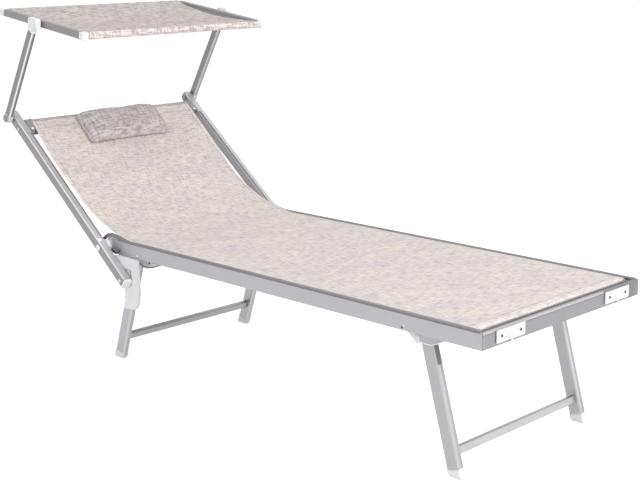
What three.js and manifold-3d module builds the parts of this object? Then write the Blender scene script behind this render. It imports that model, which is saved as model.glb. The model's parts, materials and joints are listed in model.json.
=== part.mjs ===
// Folding aluminium sun lounger with a small canopy over the head end.
// Millimetres, +X towards the foot end, +Z up, -Y is the right-hand side of whoever lies on it.
// It is built round the backrest hinge, then moved so that its origin is the middle of its footprint.
import * as THREE from 'three';
import * as BufferGeometryUtils from 'three/addons/utils/BufferGeometryUtils.js';
import Module from 'manifold-3d';

const wasm = await Module();
wasm.setup();

// Clearances and curve steps
const fitGap = 0.3;
const overrun = 5;
const roundSteps = 20;
const cornerSteps = 4;
const wall = 2;

// Seat frame
const seatWidth = 600;
const seatLength = 1310;
const seatTop = 374;
const railHeight = 41;
const railThickness = 25;
const railEdgeRadius = 2;
const lipWidth = 5;
const grooveWidth = 3;
const grooveDepth = 8;
const landDrop = 3.5;
const railHeadStart = 15;

// Backrest
const reclineAngle = THREE.MathUtils.degToRad(38.7);
const backLength = 532;
const backTail = 142;
const backRailDepth = 30;
const backRailThickness = 24;
const backRailRadius = 5;
const backRailGap = 12.4;

// Legs
const legPivotDrop = 19;
const legInset = 62;
const legWidth = 40;
const legThickness = 20;
const legRadius = 8;
const frontPivotInset = 199;
const frontFootInset = 111;
const rearPivotX = 52.5;
const rearFootX = -56.5;
const frontStretcherHeight = 56;
const rearStretcherHeight = 67;
const stretcherHeight = 20;
const stretcherThickness = 16;
const legTubeDiameter = 16;

// Canopy
const armPivotInset = 9.5;
const armLength = 325;
const armAngle = THREE.MathUtils.degToRad(31.2);
const armDepth = 28;
const armThickness = 16;
const canopyTilt = THREE.MathUtils.degToRad(7.8);
const canopyArmGap = 5.6;
const canopyHeadReach = 191;
const canopyFootReach = 204.5;
const canopyBar = 20;
const canopyHemBar = 16;

// Fabric
const fabricThickness = 2.4;
const backSag = 3.1;
const backFabricInset = 9;
const backLowRise = -0.5;
const bendRadius = 480;
const bendSeatShare = 0.31;
const bendBackShare = 0.34;
const cutGap = 0.3;
const footGap = 2;
const hemOverlap = 25;
const backHemLength = 30;
const canopySag = 13;
const canopyHemLength = 25;
const canopyEdgeGap = 2;
const canopyEdgeBow = 10;
const bowSteps = 256;

// Seat frame details
const plateWidth = 100;
const plateHeight = 29;
const plateRadius = 3;
const plateThickness = 3.5;
const plateBevel = 0.8;
const plateInset = 95;
const plateRise = 6.8;
const headCapBevel = 1;
const tongueLength = 22;
const hingeBushRadius = 14;
const hingeBoltRadius = 5;
const hingeNutRadius = 8;
const hingeNutLength = 6;
const hingeHeadRadius = 9;
const hingeHeadHeight = 4;
const saddleHalfLength = 35;
const saddleRadius = 12;
const saddleTopDrop = 9;
const saddleShoulderDrop = 5;
const saddleLegGap = 1.7;
const lugLength = 14;
const lugWidth = 8;
const saddleArcHalf = Math.PI * 0.35;
const rackGap = 1.5;
const rackHeadX = 73;
const rackWidth = 68;
const rackDrop = 146;
const crossTubeX = 600;
const crossTubeRadius = 11;
const crossTubeDrop = 4;
const hemRodRadius = 6;

// The rack plate's outline, from its notched edge round to its top: shares of its width from its head edge,
// and of its drop below the rail
const rackShares = [
	[0.19, 0.22], [0.59, 0.2], [0.66, 0.35], [0.63, 0.486], [0.5, 0.555], [0.16, 0.59],
	[0.045, 0.637], [0.12, 0.705], [0.03, 0.76], [0.1, 0.836], [0.015, 0.89], [0, 1],
	[0.72, 0.966], [0.9, 0.87], [1, 0.61], [0.97, 0.226], [0.926, 0.0025],
];

// Backrest details
const topCapLength = 4;
const lowPlugLength = 10;
const plugBevel = 1.5;
const capBevel = 2;
const plugTongue = 22;
const topBarRadius = 12.5;
const topBarInset = 46;
const barBracketLength = 44;
const barBracketDepth = 29;
const barBracketRadius = 9.5;
const pillowDrop = 58;
const pillowLength = 298;
const pillowDepth = 122;
const pillowHeight = 40;
const pillowRound = 24;
const pillowSteps = 20;
const pillowEndPower = 4;
const pillowFullPower = 0.5;
const pillowEdgeShare = 0.6;
const pillowCrownShare = 0.9;
const pillowUnderShare = 0.35;
const pillowRimShare = 0.22;
const pillowDrawShare = 0.08;

// Leg details
const footHeight = 22;
const footCorner = 5;
const footBevel = 3;
const stretcherRadius = 4;

// Canopy details
const armGap = 1.2;
const armRadius = 6;
const armPinRadius = 4;
const armNutRadius = 7;
const armNutLength = 5;
const knobRadius = 11;
const knobHeight = 6;
const cornerSize = 22;
const cornerHeight = 21;
const cornerRadius = 5;
const cornerTongue = 20;
const canopyBarRadius = 4;
const headBlockLength = 44;
const headBlockHeight = 32;
const headBlockRadius = 7;
const headNeckReach = 25;
const headCollarRadius = 9;

// Derived places
const railBottom = seatTop - railHeight;
const railInner = seatWidth / 2 - railThickness;
const railLand = seatTop - landDrop;
const backRailInner = seatWidth / 2 + backRailGap;
const backRailCentre = backRailInner + backRailThickness / 2;
const backRailOuter = backRailInner + backRailThickness;

const hingeHeight = (railBottom + railLand) / 2;
const slingLow = railLand + fitGap;
const backFabricHalfWidth = seatWidth / 2 - backFabricInset;
const topBarX = -backLength + topBarInset;
const pillowX = topBarX + pillowDrop;
const legPivotHeight = railBottom - legPivotDrop;
const legCentre = seatWidth / 2 - legInset;
const legOuter = legCentre + legThickness / 2;
const legInner = legCentre - legThickness / 2;
const frontPivotX = seatLength - frontPivotInset;
const frontFootX = seatLength - frontFootInset;
const frontLegAngle = -Math.atan2(frontFootX - frontPivotX, legPivotHeight);
const rearLegAngle = -Math.atan2(rearFootX - rearPivotX, legPivotHeight);
const rackInner = seatWidth / 2 + rackGap;
const rackOuter = backRailInner - rackGap;
const rackBoreEnd = (rackInner + rackOuter) / 2;
const armPivotX = -backLength + armPivotInset;
const armInner = backRailOuter + armGap;
const armOuter = armInner + armThickness;
const armCentre = armInner + armThickness / 2;
const canopyBarOuter = armInner - canopyArmGap;
const canopyHalfWidth = canopyBarOuter - canopyBar / 2;
const canopyFabricHalfWidth = canopyHalfWidth - canopyBar / 2 - canopyEdgeGap;
const hemRodX = seatLength - railThickness - footGap - hemRodRadius - fitGap - fabricThickness;
const hemRodZ = slingLow - fitGap - hemRodRadius;

// The fabric's bend: a wide arc between the seat's plane and the line of the backrest's lower fabric
const backSlingRise = topBarRadius + fitGap;
const bendTangent = bendRadius * Math.tan(reclineAngle / 2);
const bendRise = slingLow - hingeHeight - backLowRise * Math.cos(reclineAngle);
const bendCrossing = bendRise / Math.sin(reclineAngle);
const bendBackX = bendCrossing + bendTangent;
const bendMeetX = backLowRise * Math.sin(reclineAngle) - bendCrossing * Math.cos(reclineAngle);
const bendSeatX = bendMeetX + bendTangent;
const bendHalfWidth = seatWidth / 2 - lipWidth - grooveWidth;

const sides = [['right', -1], ['left', 1]];

// From and to along Y of what lies between two distances from the middle plane, on one side
function spanOf(side, near, far) {
	return side > 0 ? [near, far] : [-far, -near];
}

// Materials
function finish(color, roughness, metalness) {
	return new THREE.MeshStandardMaterial({ color, roughness, metalness });
}

const aluminium = finish(0xb9babf, 0.38, 0.9);
const darkAluminium = finish(0x8d8e92, 0.45, 0.85);
const steel = finish(0xa2a4a8, 0.35, 1);
const whitePlastic = finish(0xeeeef0, 0.5, 0);
const greyPlastic = finish(0x55565a, 0.6, 0);
const sling = finish(0xdcd5cc, 0.9, 0);
const pillowCloth = finish(0xa8a09b, 0.95, 0);

const lounger = new THREE.Group();
const seatFrame = new THREE.Group();
const backrest = new THREE.Group();
const canopyArms = new THREE.Group();
const canopy = new THREE.Group();
const frontLegs = new THREE.Group();
const rearLegs = new THREE.Group();

function addPiece(group, name, geometry, material) {
	const mesh = new THREE.Mesh(geometry, material);
	mesh.name = name;
	group.add(mesh);
	return mesh;
}

// Booleans
function toSolid(geometry) {
	const bare = geometry.clone();
	bare.deleteAttribute('normal');
	bare.deleteAttribute('uv');
	const merged = BufferGeometryUtils.mergeVertices(bare, 1e-4);
	return new wasm.Manifold(new wasm.Mesh({
		numProp: 3,
		vertProperties: new Float32Array(merged.attributes.position.array),
		triVerts: new Uint32Array(merged.index.array),
	}));
}

function toGeometry(solid) {
	const mesh = solid.getMesh();
	const geometry = new THREE.BufferGeometry();
	geometry.setAttribute('position', new THREE.BufferAttribute(new Float32Array(mesh.vertProperties), 3));
	geometry.setIndex(new THREE.BufferAttribute(new Uint32Array(mesh.triVerts), 1));
	return geometry;
}

function cut(geometry, ...tools) {
	return toGeometry(tools.reduce((solid, tool) => solid.subtract(toSolid(tool)), toSolid(geometry)));
}

function join(geometry, ...others) {
	return toGeometry(others.reduce((solid, other) => solid.add(toSolid(other)), toSolid(geometry)));
}

// Outlines, anticlockwise
function polygon(points, ...bores) {
	const outline = points.map(([x, y]) => new THREE.Vector2(x, y));
	if (THREE.ShapeUtils.isClockWise(outline)) {
		outline.reverse();
	}
	const shape = new THREE.Shape(outline);
	shape.holes = bores;
	return shape;
}

function arcPoints(x, z, radius, fromAngle, toAngle, steps) {
	const points = [];
	for (let i = 0; i <= steps; i++) {
		const angle = fromAngle + (toAngle - fromAngle) * i / steps;
		points.push([x + radius * Math.cos(angle), z + radius * Math.sin(angle)]);
	}
	return points;
}

function roundedBar(width, height, radius, ...bores) {
	const x = width / 2 - radius;
	const y = height / 2 - radius;
	return polygon([
		...arcPoints(x, -y, radius, -Math.PI / 2, 0, cornerSteps),
		...arcPoints(x, y, radius, 0, Math.PI / 2, cornerSteps),
		...arcPoints(-x, y, radius, Math.PI / 2, Math.PI, cornerSteps),
		...arcPoints(-x, -y, radius, Math.PI, Math.PI * 1.5, cornerSteps),
	], ...bores);
}

function roundedTube(width, height, radius) {
	return roundedBar(width, height, radius, roundedBar(width - 2 * wall, height - 2 * wall, radius - wall));
}

function disc(radius) {
	return polygon(arcPoints(0, 0, radius, 0, Math.PI * 2, roundSteps).slice(1));
}

function roundTube(radius) {
	const shape = disc(radius);
	shape.holes = [disc(radius - wall)];
	return shape;
}

// A bar or tube end: square on one side, round on the other, which lies towards -y
function roundEnd(radius, squareReach) {
	return polygon([
		[radius, squareReach],
		[-radius, squareReach],
		...arcPoints(0, 0, radius, Math.PI, Math.PI * 2, 2 * cornerSteps),
	]);
}

// Extrusions along one axis, each between two places on it, with the outline's bores cut right through
function extrude(shape, length, bevel = 0) {
	const solid = new THREE.ExtrudeGeometry(new THREE.Shape(shape.getPoints()), {
		depth: length - 2 * bevel,
		steps: 1,
		bevelEnabled: bevel > 0,
		bevelThickness: bevel,
		bevelSize: bevel,
		bevelOffset: -bevel,
		bevelSegments: 1,
	}).translate(0, 0, bevel);
	if (shape.holes.length === 0) {
		return solid;
	}
	const bores = shape.holes.map((bore) => extrude(bore, length + 2 * overrun).translate(0, 0, -overrun));
	return cut(solid, ...bores);
}

// The outline's x and y lie along +Y and +Z
function extrudeX(shape, from, to, bevel = 0) {
	const turn = new THREE.Matrix4().makeBasis(
		new THREE.Vector3(0, 1, 0), new THREE.Vector3(0, 0, 1), new THREE.Vector3(1, 0, 0));
	return extrude(shape, to - from, bevel).applyMatrix4(turn).translate(from, 0, 0);
}

// The outline's x and y lie along +X and +Z
function extrudeY(shape, from, to, bevel = 0) {
	return extrude(shape, to - from, bevel).rotateX(Math.PI / 2).translate(0, to, 0);
}

function extrudeZ(shape, from, to, bevel = 0) {
	return extrude(shape, to - from, bevel).translate(0, 0, from);
}

function pinY(radius, from, to, x = 0, z = 0) {
	const pin = new THREE.CylinderGeometry(radius, radius, to - from, roundSteps);
	return pin.translate(x, (from + to) / 2, z);
}

// A turned piece on the Y axis: [radius, place] pairs from one end of the axis to the other
function turnedY(profile, side) {
	const points = profile.map(([radius, place]) => new THREE.Vector2(radius, place));
	const turned = new THREE.LatheGeometry(points, roundSteps);
	return side < 0 ? turned.rotateX(Math.PI) : turned;
}

// A strip of cloth: the line of its lower face, thickened to the left of its run, as one closed outline
function clothOutline(lower) {
	const normals = lower.slice(1).map(([x, y], i) => {
		return new THREE.Vector2(lower[i][1] - y, x - lower[i][0]).normalize();
	});
	const upper = lower.map(([x, y], i) => {
		const before = normals[Math.max(i - 1, 0)];
		const after = normals[Math.min(i, normals.length - 1)];
		const reach = fabricThickness / (1 + before.dot(after));
		return [x + (before.x + after.x) * reach, y + (before.y + after.y) * reach];
	});
	return polygon([...lower, ...upper.reverse()]);
}

// A run of cloth between two points that sags by a given depth in its middle
function saggingRun(from, to, sag, steps) {
	const points = [];
	for (let i = 0; i <= steps; i++) {
		const share = i / steps;
		const drop = 4 * sag * share * (1 - share);
		points.push([from[0] + (to[0] - from[0]) * share, from[1] + (to[1] - from[1]) * share - drop]);
	}
	return points;
}

// Seat side rails: hollow, with an outer lip, a groove for the fabric's edge and a lower land beside it
function railSection(side, shift) {
	const outer = shift + side * seatWidth / 2;
	const at = (fromOuter) => outer - side * fromOuter;
	const corner = railEdgeRadius;
	const boreTop = seatTop - grooveDepth - wall;
	const bore = polygon([
		[at(wall), railBottom + wall],
		[at(railThickness - wall), railBottom + wall],
		[at(railThickness - wall), boreTop],
		[at(wall), boreTop],
	]);
	return polygon([
		[at(0), railBottom + corner],
		[at(corner), railBottom],
		[at(railThickness), railBottom],
		[at(railThickness), railLand],
		[at(lipWidth + grooveWidth), railLand],
		[at(lipWidth + grooveWidth), seatTop - grooveDepth],
		[at(lipWidth), seatTop - grooveDepth],
		[at(lipWidth), seatTop],
		[at(corner), seatTop],
		[at(0), seatTop - corner],
	], bore);
}

// A prism that trims a rail's end to its mitre, on one side of the 45 degree line through the corner
function mitrePrism(side, forFootRail) {
	const reach = 2 * railThickness;
	const shift = forFootRail ? fitGap / 2 : -fitGap / 2;
	const corner = [seatLength + shift, side * seatWidth / 2];
	const third = forFootRail
		? [corner[0] - reach, corner[1] + side * reach]
		: [corner[0] + reach, corner[1] - side * reach];
	const prism = polygon([
		[corner[0] - reach, corner[1] - side * reach],
		[corner[0] + reach, corner[1] + side * reach],
		third,
	]);
	return extrudeZ(prism, railBottom - overrun, seatTop + overrun);
}

function addSeatRails() {
	for (const [suffix, side] of sides) {
		const rail = extrudeX(railSection(side, 0), railHeadStart, seatLength);
		addPiece(seatFrame, `seat_rail_${suffix}`, cut(rail, mitrePrism(side, false)), aluminium);
	}
	const rail = extrudeY(railSection(1, seatLength - seatWidth / 2), -seatWidth / 2, seatWidth / 2);
	addPiece(seatFrame, 'foot_rail', cut(rail, mitrePrism(-1, true), mitrePrism(1, true)), aluminium);
}

// White plates on the foot rail
function addFootPlates() {
	for (const [suffix, side] of sides) {
		const plate = extrudeX(roundedBar(plateWidth, plateHeight, plateRadius), 0, plateThickness, plateBevel);
		const mesh = addPiece(seatFrame, `foot_plate_${suffix}`, plate, whitePlastic);
		const plateY = side * (seatWidth / 2 - plateInset);
		mesh.position.set(seatLength + fitGap, plateY, railBottom + plateRise + plateHeight / 2);
	}
}

// Plastic caps in the rails' head ends, each with a tongue in the rail, a round end and the hinge's bore, and
// the bushes between these caps and the backrest rails
function addHeadCaps() {
	const radius = (railLand - railBottom) / 2;
	const end = polygon([
		[railHeadStart - fitGap, -radius],
		[railHeadStart - fitGap, radius],
		...arcPoints(0, 0, radius, Math.PI / 2, Math.PI * 1.5, 2 * cornerSteps),
	]);
	for (const [suffix, side] of sides) {
		const [from, to] = spanOf(side, railInner, seatWidth / 2);
		const body = extrudeY(end, from, to, headCapBevel).translate(0, 0, hingeHeight);
		const tongueHeight = seatTop - grooveDepth - railBottom - 2 * wall - 2 * fitGap;
		const tongueWidth = railThickness - 2 * wall - 2 * fitGap;
		const tongue = extrudeX(roundedBar(tongueWidth, tongueHeight, wall), 0, railHeadStart + tongueLength);
		tongue.translate(0, side * (railInner + railThickness / 2), railBottom + wall + fitGap + tongueHeight / 2);
		const bore = pinY(hingeBoltRadius + fitGap, -seatWidth, seatWidth, 0, hingeHeight);
		addPiece(seatFrame, `rail_head_cap_${suffix}`, cut(join(body, tongue), bore), greyPlastic);
		const [bushFrom, bushTo] = spanOf(side, seatWidth / 2 + fitGap, backRailInner - fitGap);
		const bush = pinY(hingeBushRadius, bushFrom, bushTo, 0, hingeHeight);
		addPiece(seatFrame, `hinge_bush_${suffix}`, cut(bush, bore), whitePlastic);
	}
}

function addHingeBolts() {
	for (const [suffix, side] of sides) {
		const inner = railInner - fitGap;
		const outer = backRailOuter + fitGap;
		const bolt = turnedY([
			[0, inner - hingeNutLength],
			[hingeNutRadius, inner - hingeNutLength],
			[hingeNutRadius, inner],
			[hingeBoltRadius, inner],
			[hingeBoltRadius, outer],
			[hingeHeadRadius, outer],
			[hingeHeadRadius, outer + hingeHeadHeight / 2],
			[hingeHeadRadius / 2, outer + hingeHeadHeight],
			[0, outer + hingeHeadHeight],
		], side);
		addPiece(seatFrame, `hinge_bolt_${suffix}`, bolt.translate(0, 0, hingeHeight), steel);
	}
}

// Saddle blocks under the rails' inner sides, with a lug that stops the open leg
function saddleOutline() {
	const down = Math.PI * 1.5;
	const top = railLand - saddleTopDrop - legPivotHeight;
	const shoulder = railBottom - saddleShoulderDrop - legPivotHeight;
	return polygon([
		[-saddleHalfLength, shoulder],
		...arcPoints(0, 0, saddleRadius, down - saddleArcHalf, down + saddleArcHalf, cornerSteps),
		[saddleHalfLength, shoulder],
		[saddleHalfLength, top],
		[-saddleHalfLength, top],
	]);
}

function stopLug(side, towards, legAngle) {
	const near = legWidth / 2 + fitGap;
	const lug = polygon([
		[towards * near, -lugLength / 2],
		[towards * (near + lugWidth), -lugLength / 2],
		[towards * (near + lugWidth), lugLength / 2],
		[towards * near, lugLength / 2],
	]);
	const [from, to] = spanOf(side, legCentre, legOuter + saddleLegGap + overrun);
	return extrudeY(lug, from, to).rotateY(legAngle);
}

function addFrontBrackets() {
	for (const [suffix, side] of sides) {
		const [from, to] = spanOf(side, legOuter + saddleLegGap, railInner - fitGap);
		const block = extrudeY(saddleOutline(), from, to);
		const bore = pinY(legTubeDiameter / 2 + fitGap, -seatWidth, seatWidth);
		const bracket = cut(join(block, stopLug(side, 1, frontLegAngle)), bore);
		const mesh = addPiece(seatFrame, `front_leg_bracket_${suffix}`, bracket, whitePlastic);
		mesh.position.set(frontPivotX, 0, legPivotHeight);
	}
}

// White notched racks: the block that carries the rear legs, a neck under the rail and the notched plate
// beside the backrest rail, whose low end lies against the plate's notch
function addRearRacks() {
	for (const [suffix, side] of sides) {
		const [blockFrom, blockTo] = spanOf(side, legOuter + saddleLegGap, railInner - fitGap);
		const block = extrudeY(saddleOutline(), blockFrom, blockTo);
		const lobe = arcPoints(0, 0, saddleRadius, Math.PI / 2, Math.PI * 1.5, 2 * cornerSteps);
		const neckTop = railBottom - fitGap - legPivotHeight;
		const neck = polygon([
			[0, neckTop],
			[-saddleRadius, neckTop],
			...lobe.slice(cornerSteps),
			[saddleHalfLength, 0],
			[saddleHalfLength, neckTop],
		]);
		const [neckFrom, neckTo] = spanOf(side, legOuter + saddleLegGap, rackOuter - overrun);
		const [plateFrom, plateTo] = spanOf(side, rackInner, rackOuter);
		const headX = rackHeadX - rearPivotX;
		const topZ = railBottom - legPivotHeight;
		const plateOutline = polygon([
			[-saddleRadius, neckTop],
			...lobe.slice(cornerSteps),
			...rackShares.map(([across, down]) => [headX + across * rackWidth, topZ - down * rackDrop]),
		]);
		const pieces = [extrudeY(neck, neckFrom, neckTo), extrudeY(plateOutline, plateFrom, plateTo)];
		const bore = pinY(legTubeDiameter / 2 + fitGap, ...spanOf(side, 0, rackBoreEnd));
		const rack = cut(join(block, ...pieces, stopLug(side, -1, rearLegAngle)), bore);
		const mesh = addPiece(seatFrame, `backrest_rack_${suffix}`, rack, whitePlastic);
		mesh.position.set(rearPivotX, 0, legPivotHeight);
	}
}

// Cross tube under the fabric and the rod in the fabric's foot hem
function addSeatCrossPieces() {
	const [from, to] = [-railInner + fitGap, railInner - fitGap];
	const tube = extrudeY(roundTube(crossTubeRadius), from, to);
	const mesh = addPiece(seatFrame, 'seat_cross_tube', tube, aluminium);
	mesh.position.set(crossTubeX, 0, railLand - crossTubeDrop - crossTubeRadius);
	const rod = pinY(hemRodRadius, from, to);
	addPiece(seatFrame, 'foot_hem_rod', rod, steel).position.set(hemRodX, 0, hemRodZ);
}

// The fabric's bend between two angles of its turn, counted from the seat's plane
function bendRun(fromAngle, toAngle) {
	return arcPoints(bendSeatX, slingLow + bendRadius, bendRadius, -Math.PI / 2 - fromAngle, -Math.PI / 2 - toAngle,
		2 * cornerSteps);
}

// The seat's fabric: its edges turn down into the rails' grooves, its foot hem goes round the rod, and its
// head end rises with the bend
function addSeatSling() {
	const inner = bendHalfWidth + fitGap;
	const flat = clothOutline([
		[-inner, seatTop - grooveDepth + fitGap],
		[-inner, slingLow],
		[inner, slingLow],
		[inner, seatTop - grooveDepth + fitGap],
	]);
	const sheet = extrudeX(flat, bendSeatX, hemRodX);
	const turn = hemRodRadius + fitGap;
	const hem = clothOutline([
		[hemRodX - hemOverlap, slingLow],
		...arcPoints(hemRodX, hemRodZ, turn, Math.PI / 2, -Math.PI / 2, 2 * cornerSteps),
		[hemRodX - hemOverlap, hemRodZ - turn],
	]);
	const half = railInner - fabricThickness;
	const rise = clothOutline([...bendRun(reclineAngle * bendSeatShare, 0), [bendSeatX + hemOverlap, slingLow]]);
	const sheets = join(sheet, extrudeY(hem, -half, half), extrudeY(rise, -bendHalfWidth, bendHalfWidth));
	addPiece(seatFrame, 'seat_sling', sheets, sling);
}

// The fabric between the seat and the backrest, in the middle of the bend
function addSlingBend() {
	const turn = cutGap / bendRadius;
	const points = bendRun(reclineAngle * (1 - bendBackShare) - turn, reclineAngle * bendSeatShare + turn);
	addPiece(seatFrame, 'sling_bend', extrudeY(clothOutline(points), -bendHalfWidth, bendHalfWidth), sling);
}

// Backrest, built flat: its hinge at the origin and its top end towards -X
function addBackrestRails() {
	const tube = roundedTube(backRailThickness, backRailDepth, backRailRadius);
	for (const [suffix, side] of sides) {
		const rail = extrudeX(tube, -backLength + topCapLength, backTail - lowPlugLength);
		rail.translate(0, side * backRailCentre, 0);
		const hingeBore = pinY(hingeBoltRadius + fitGap, -seatWidth, seatWidth);
		const armBore = pinY(armPinRadius + fitGap, -seatWidth, seatWidth, armPivotX);
		addPiece(backrest, `backrest_rail_${suffix}`, cut(rail, hingeBore, armBore), aluminium);
	}
}

// Plugs in the rails' ends: a cap as wide as the rail and a tongue inside it
function railPlug(length) {
	const section = roundedBar(backRailThickness, backRailDepth, backRailRadius);
	const cap = extrudeX(section, fitGap, length, plugBevel);
	const inside = roundedBar(backRailThickness - 2 * wall - 2 * fitGap, backRailDepth - 2 * wall - 2 * fitGap,
		backRailRadius - wall);
	return join(cap, extrudeX(inside, -plugTongue, length / 2));
}

function addBackrestEnds() {
	for (const [suffix, side] of sides) {
		const cap = railPlug(topCapLength).rotateZ(Math.PI).translate(-backLength + topCapLength, 0, 0);
		const bored = cut(cap, pinY(armPinRadius + fitGap, -seatWidth, seatWidth, armPivotX));
		addPiece(backrest, `backrest_top_cap_${suffix}`, bored, greyPlastic).position.y = side * backRailCentre;
		const plug = addPiece(backrest, `backrest_low_plug_${suffix}`, railPlug(lowPlugLength), whitePlastic);
		plug.position.set(backTail - lowPlugLength, side * backRailCentre, 0);
	}
}

function addTopBar() {
	const end = backRailInner - fitGap;
	const bar = extrudeY(roundTube(topBarRadius), -end, end);
	addPiece(backrest, 'backrest_top_bar', bar, aluminium).position.x = topBarX;
	for (const [suffix, side] of sides) {
		const [from, to] = spanOf(side, backFabricHalfWidth + fitGap, backRailInner - fitGap);
		const block = extrudeY(roundedBar(barBracketLength, barBracketDepth, barBracketRadius), from, to);
		block.translate(barBracketLength / 2 - barBracketDepth / 2, 0, 0);
		const bracket = cut(block, pinY(topBarRadius + fitGap, -seatWidth, seatWidth));
		addPiece(backrest, `top_bar_bracket_${suffix}`, bracket, greyPlastic).position.x = topBarX;
	}
}

function addBackrestSling() {
	const turn = topBarRadius + fitGap;
	const points = [
		[topBarX + backHemLength, -turn],
		...arcPoints(topBarX, 0, turn, -Math.PI / 2, -Math.PI * 1.5, 2 * cornerSteps).slice(0, -1),
		...saggingRun([topBarX, turn], [-bendBackX, backLowRise], backSag, 2 * cornerSteps),
		...arcPoints(-bendBackX, backLowRise + bendRadius, bendRadius, -Math.PI / 2,
			-Math.PI / 2 + reclineAngle * bendBackShare, cornerSteps).slice(1),
	];
	const cloth = extrudeY(clothOutline(points), -backFabricHalfWidth, backFabricHalfWidth);
	addPiece(backrest, 'backrest_sling', cloth, sling);
}

// The head pillow: a crowned pad, drawn in towards its sewn ends
function addPillow() {
	const positions = [];
	const index = [];
	const ring = [];
	for (let j = 0; j < pillowRound; j++) {
		const angle = 2 * Math.PI * j / pillowRound;
		const across = Math.sign(Math.cos(angle)) * Math.abs(Math.cos(angle)) ** pillowEdgeShare;
		const up = Math.sign(Math.sin(angle)) * Math.abs(Math.sin(angle)) ** pillowCrownShare;
		ring.push([across, up > 0 ? up : up * pillowUnderShare]);
	}
	for (let i = 0; i <= pillowSteps; i++) {
		const share = -Math.cos(Math.PI * i / pillowSteps);
		const fullness = Math.max(1 - Math.abs(share) ** pillowEndPower, 0) ** pillowFullPower;
		const height = pillowHeight * (pillowRimShare + (1 - pillowRimShare) * fullness);
		const depth = pillowDepth * (1 - pillowDrawShare * (1 - fullness));
		for (const [across, up] of ring) {
			const rise = up * height / (1 + pillowUnderShare) + height * pillowUnderShare / (1 + pillowUnderShare);
			positions.push(across * depth / 2, share * pillowLength / 2, rise);
		}
	}
	for (let i = 0; i < pillowSteps; i++) {
		for (let j = 0; j < pillowRound; j++) {
			const a = i * pillowRound + j;
			const b = i * pillowRound + (j + 1) % pillowRound;
			index.push(a, b + pillowRound, b, a, a + pillowRound, b + pillowRound);
		}
	}
	const last = pillowSteps * pillowRound;
	for (let j = 1; j < pillowRound - 1; j++) {
		index.push(0, j, j + 1, last, last + j + 1, last + j);
	}
	const geometry = new THREE.BufferGeometry();
	geometry.setAttribute('position', new THREE.BufferAttribute(new Float32Array(positions), 3));
	geometry.setIndex(index);
	const pillow = addPiece(backrest, 'head_pillow', geometry, pillowCloth);
	const run = -bendBackX - topBarX;
	const along = (pillowX - topBarX) / run;
	const fall = backSlingRise - backLowRise;
	const drop = fall * along + 4 * backSag * along * (1 - along);
	pillow.position.set(pillowX, 0, backSlingRise + fabricThickness + fitGap - drop);
	pillow.rotation.y = Math.atan((fall + 4 * backSag * (1 - 2 * along)) / run);
}

// A pair of legs: two flat tubes on a top tube that turns in the saddles, a stretcher and two feet
function addLegPair(group, prefix, pivotX, legAngle, stretcherZ, tubeEnd) {
	group.position.set(pivotX, 0, legPivotHeight);
	group.rotation.y = legAngle;
	const floorAt = (x) => (x * Math.sin(legAngle) - legPivotHeight) / Math.cos(legAngle);
	const footTop = floorAt(0) + footHeight;
	const half = legWidth / 2;
	const tube = roundedTube(legThickness, legWidth, legRadius);
	for (const [suffix, side] of sides) {
		const shaft = extrudeX(tube, -half, -footTop).rotateY(Math.PI / 2);
		const crownLimit = polygon([[-legWidth, 0], [legWidth, 0], [legWidth, legWidth], [-legWidth, legWidth]]);
		const crown = pinY(half, -seatWidth - overrun, seatWidth + overrun);
		const outside = cut(extrudeY(crownLimit, -seatWidth, seatWidth), crown);
		const placed = shaft.translate(0, side * legCentre, 0);
		const bore = pinY(legTubeDiameter / 2 + fitGap, -seatWidth, seatWidth);
		addPiece(group, `${prefix}_leg_${suffix}`, cut(placed, outside, bore), aluminium);

		const low = footCorner;
		const foot = polygon([
			[-half, footTop - fitGap],
			[-half, floorAt(-half) + low],
			[-half + low, floorAt(-half + low)],
			[half - low, floorAt(half - low)],
			[half, floorAt(half) + low],
			[half, footTop - fitGap],
		]);
		const [from, to] = spanOf(side, legInner, legOuter);
		const tongue = roundedBar(legThickness - 2 * wall - 2 * fitGap, legWidth - 2 * wall - 2 * fitGap,
			legRadius - wall);
		const inside = extrudeX(tongue, -footTop - plugTongue, -footTop + overrun).rotateY(Math.PI / 2);
		inside.translate(0, side * legCentre, 0);
		const footPiece = join(extrudeY(foot, from, to, footBevel), inside);
		addPiece(group, `${prefix}_foot_${suffix}`, footPiece, whitePlastic);
	}
	const stretcher = extrudeY(roundedTube(stretcherThickness, stretcherHeight, stretcherRadius),
		-legInner + fitGap, legInner - fitGap);
	const stretcherPlace = (stretcherZ - legPivotHeight) / Math.cos(legAngle);
	addPiece(group, `${prefix}_leg_stretcher`, stretcher, aluminium).position.z = stretcherPlace;
	const topTube = extrudeY(roundTube(legTubeDiameter / 2), -tubeEnd, tubeEnd);
	addPiece(group, `${prefix}_leg_top_tube`, topTube, steel);
}

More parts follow.
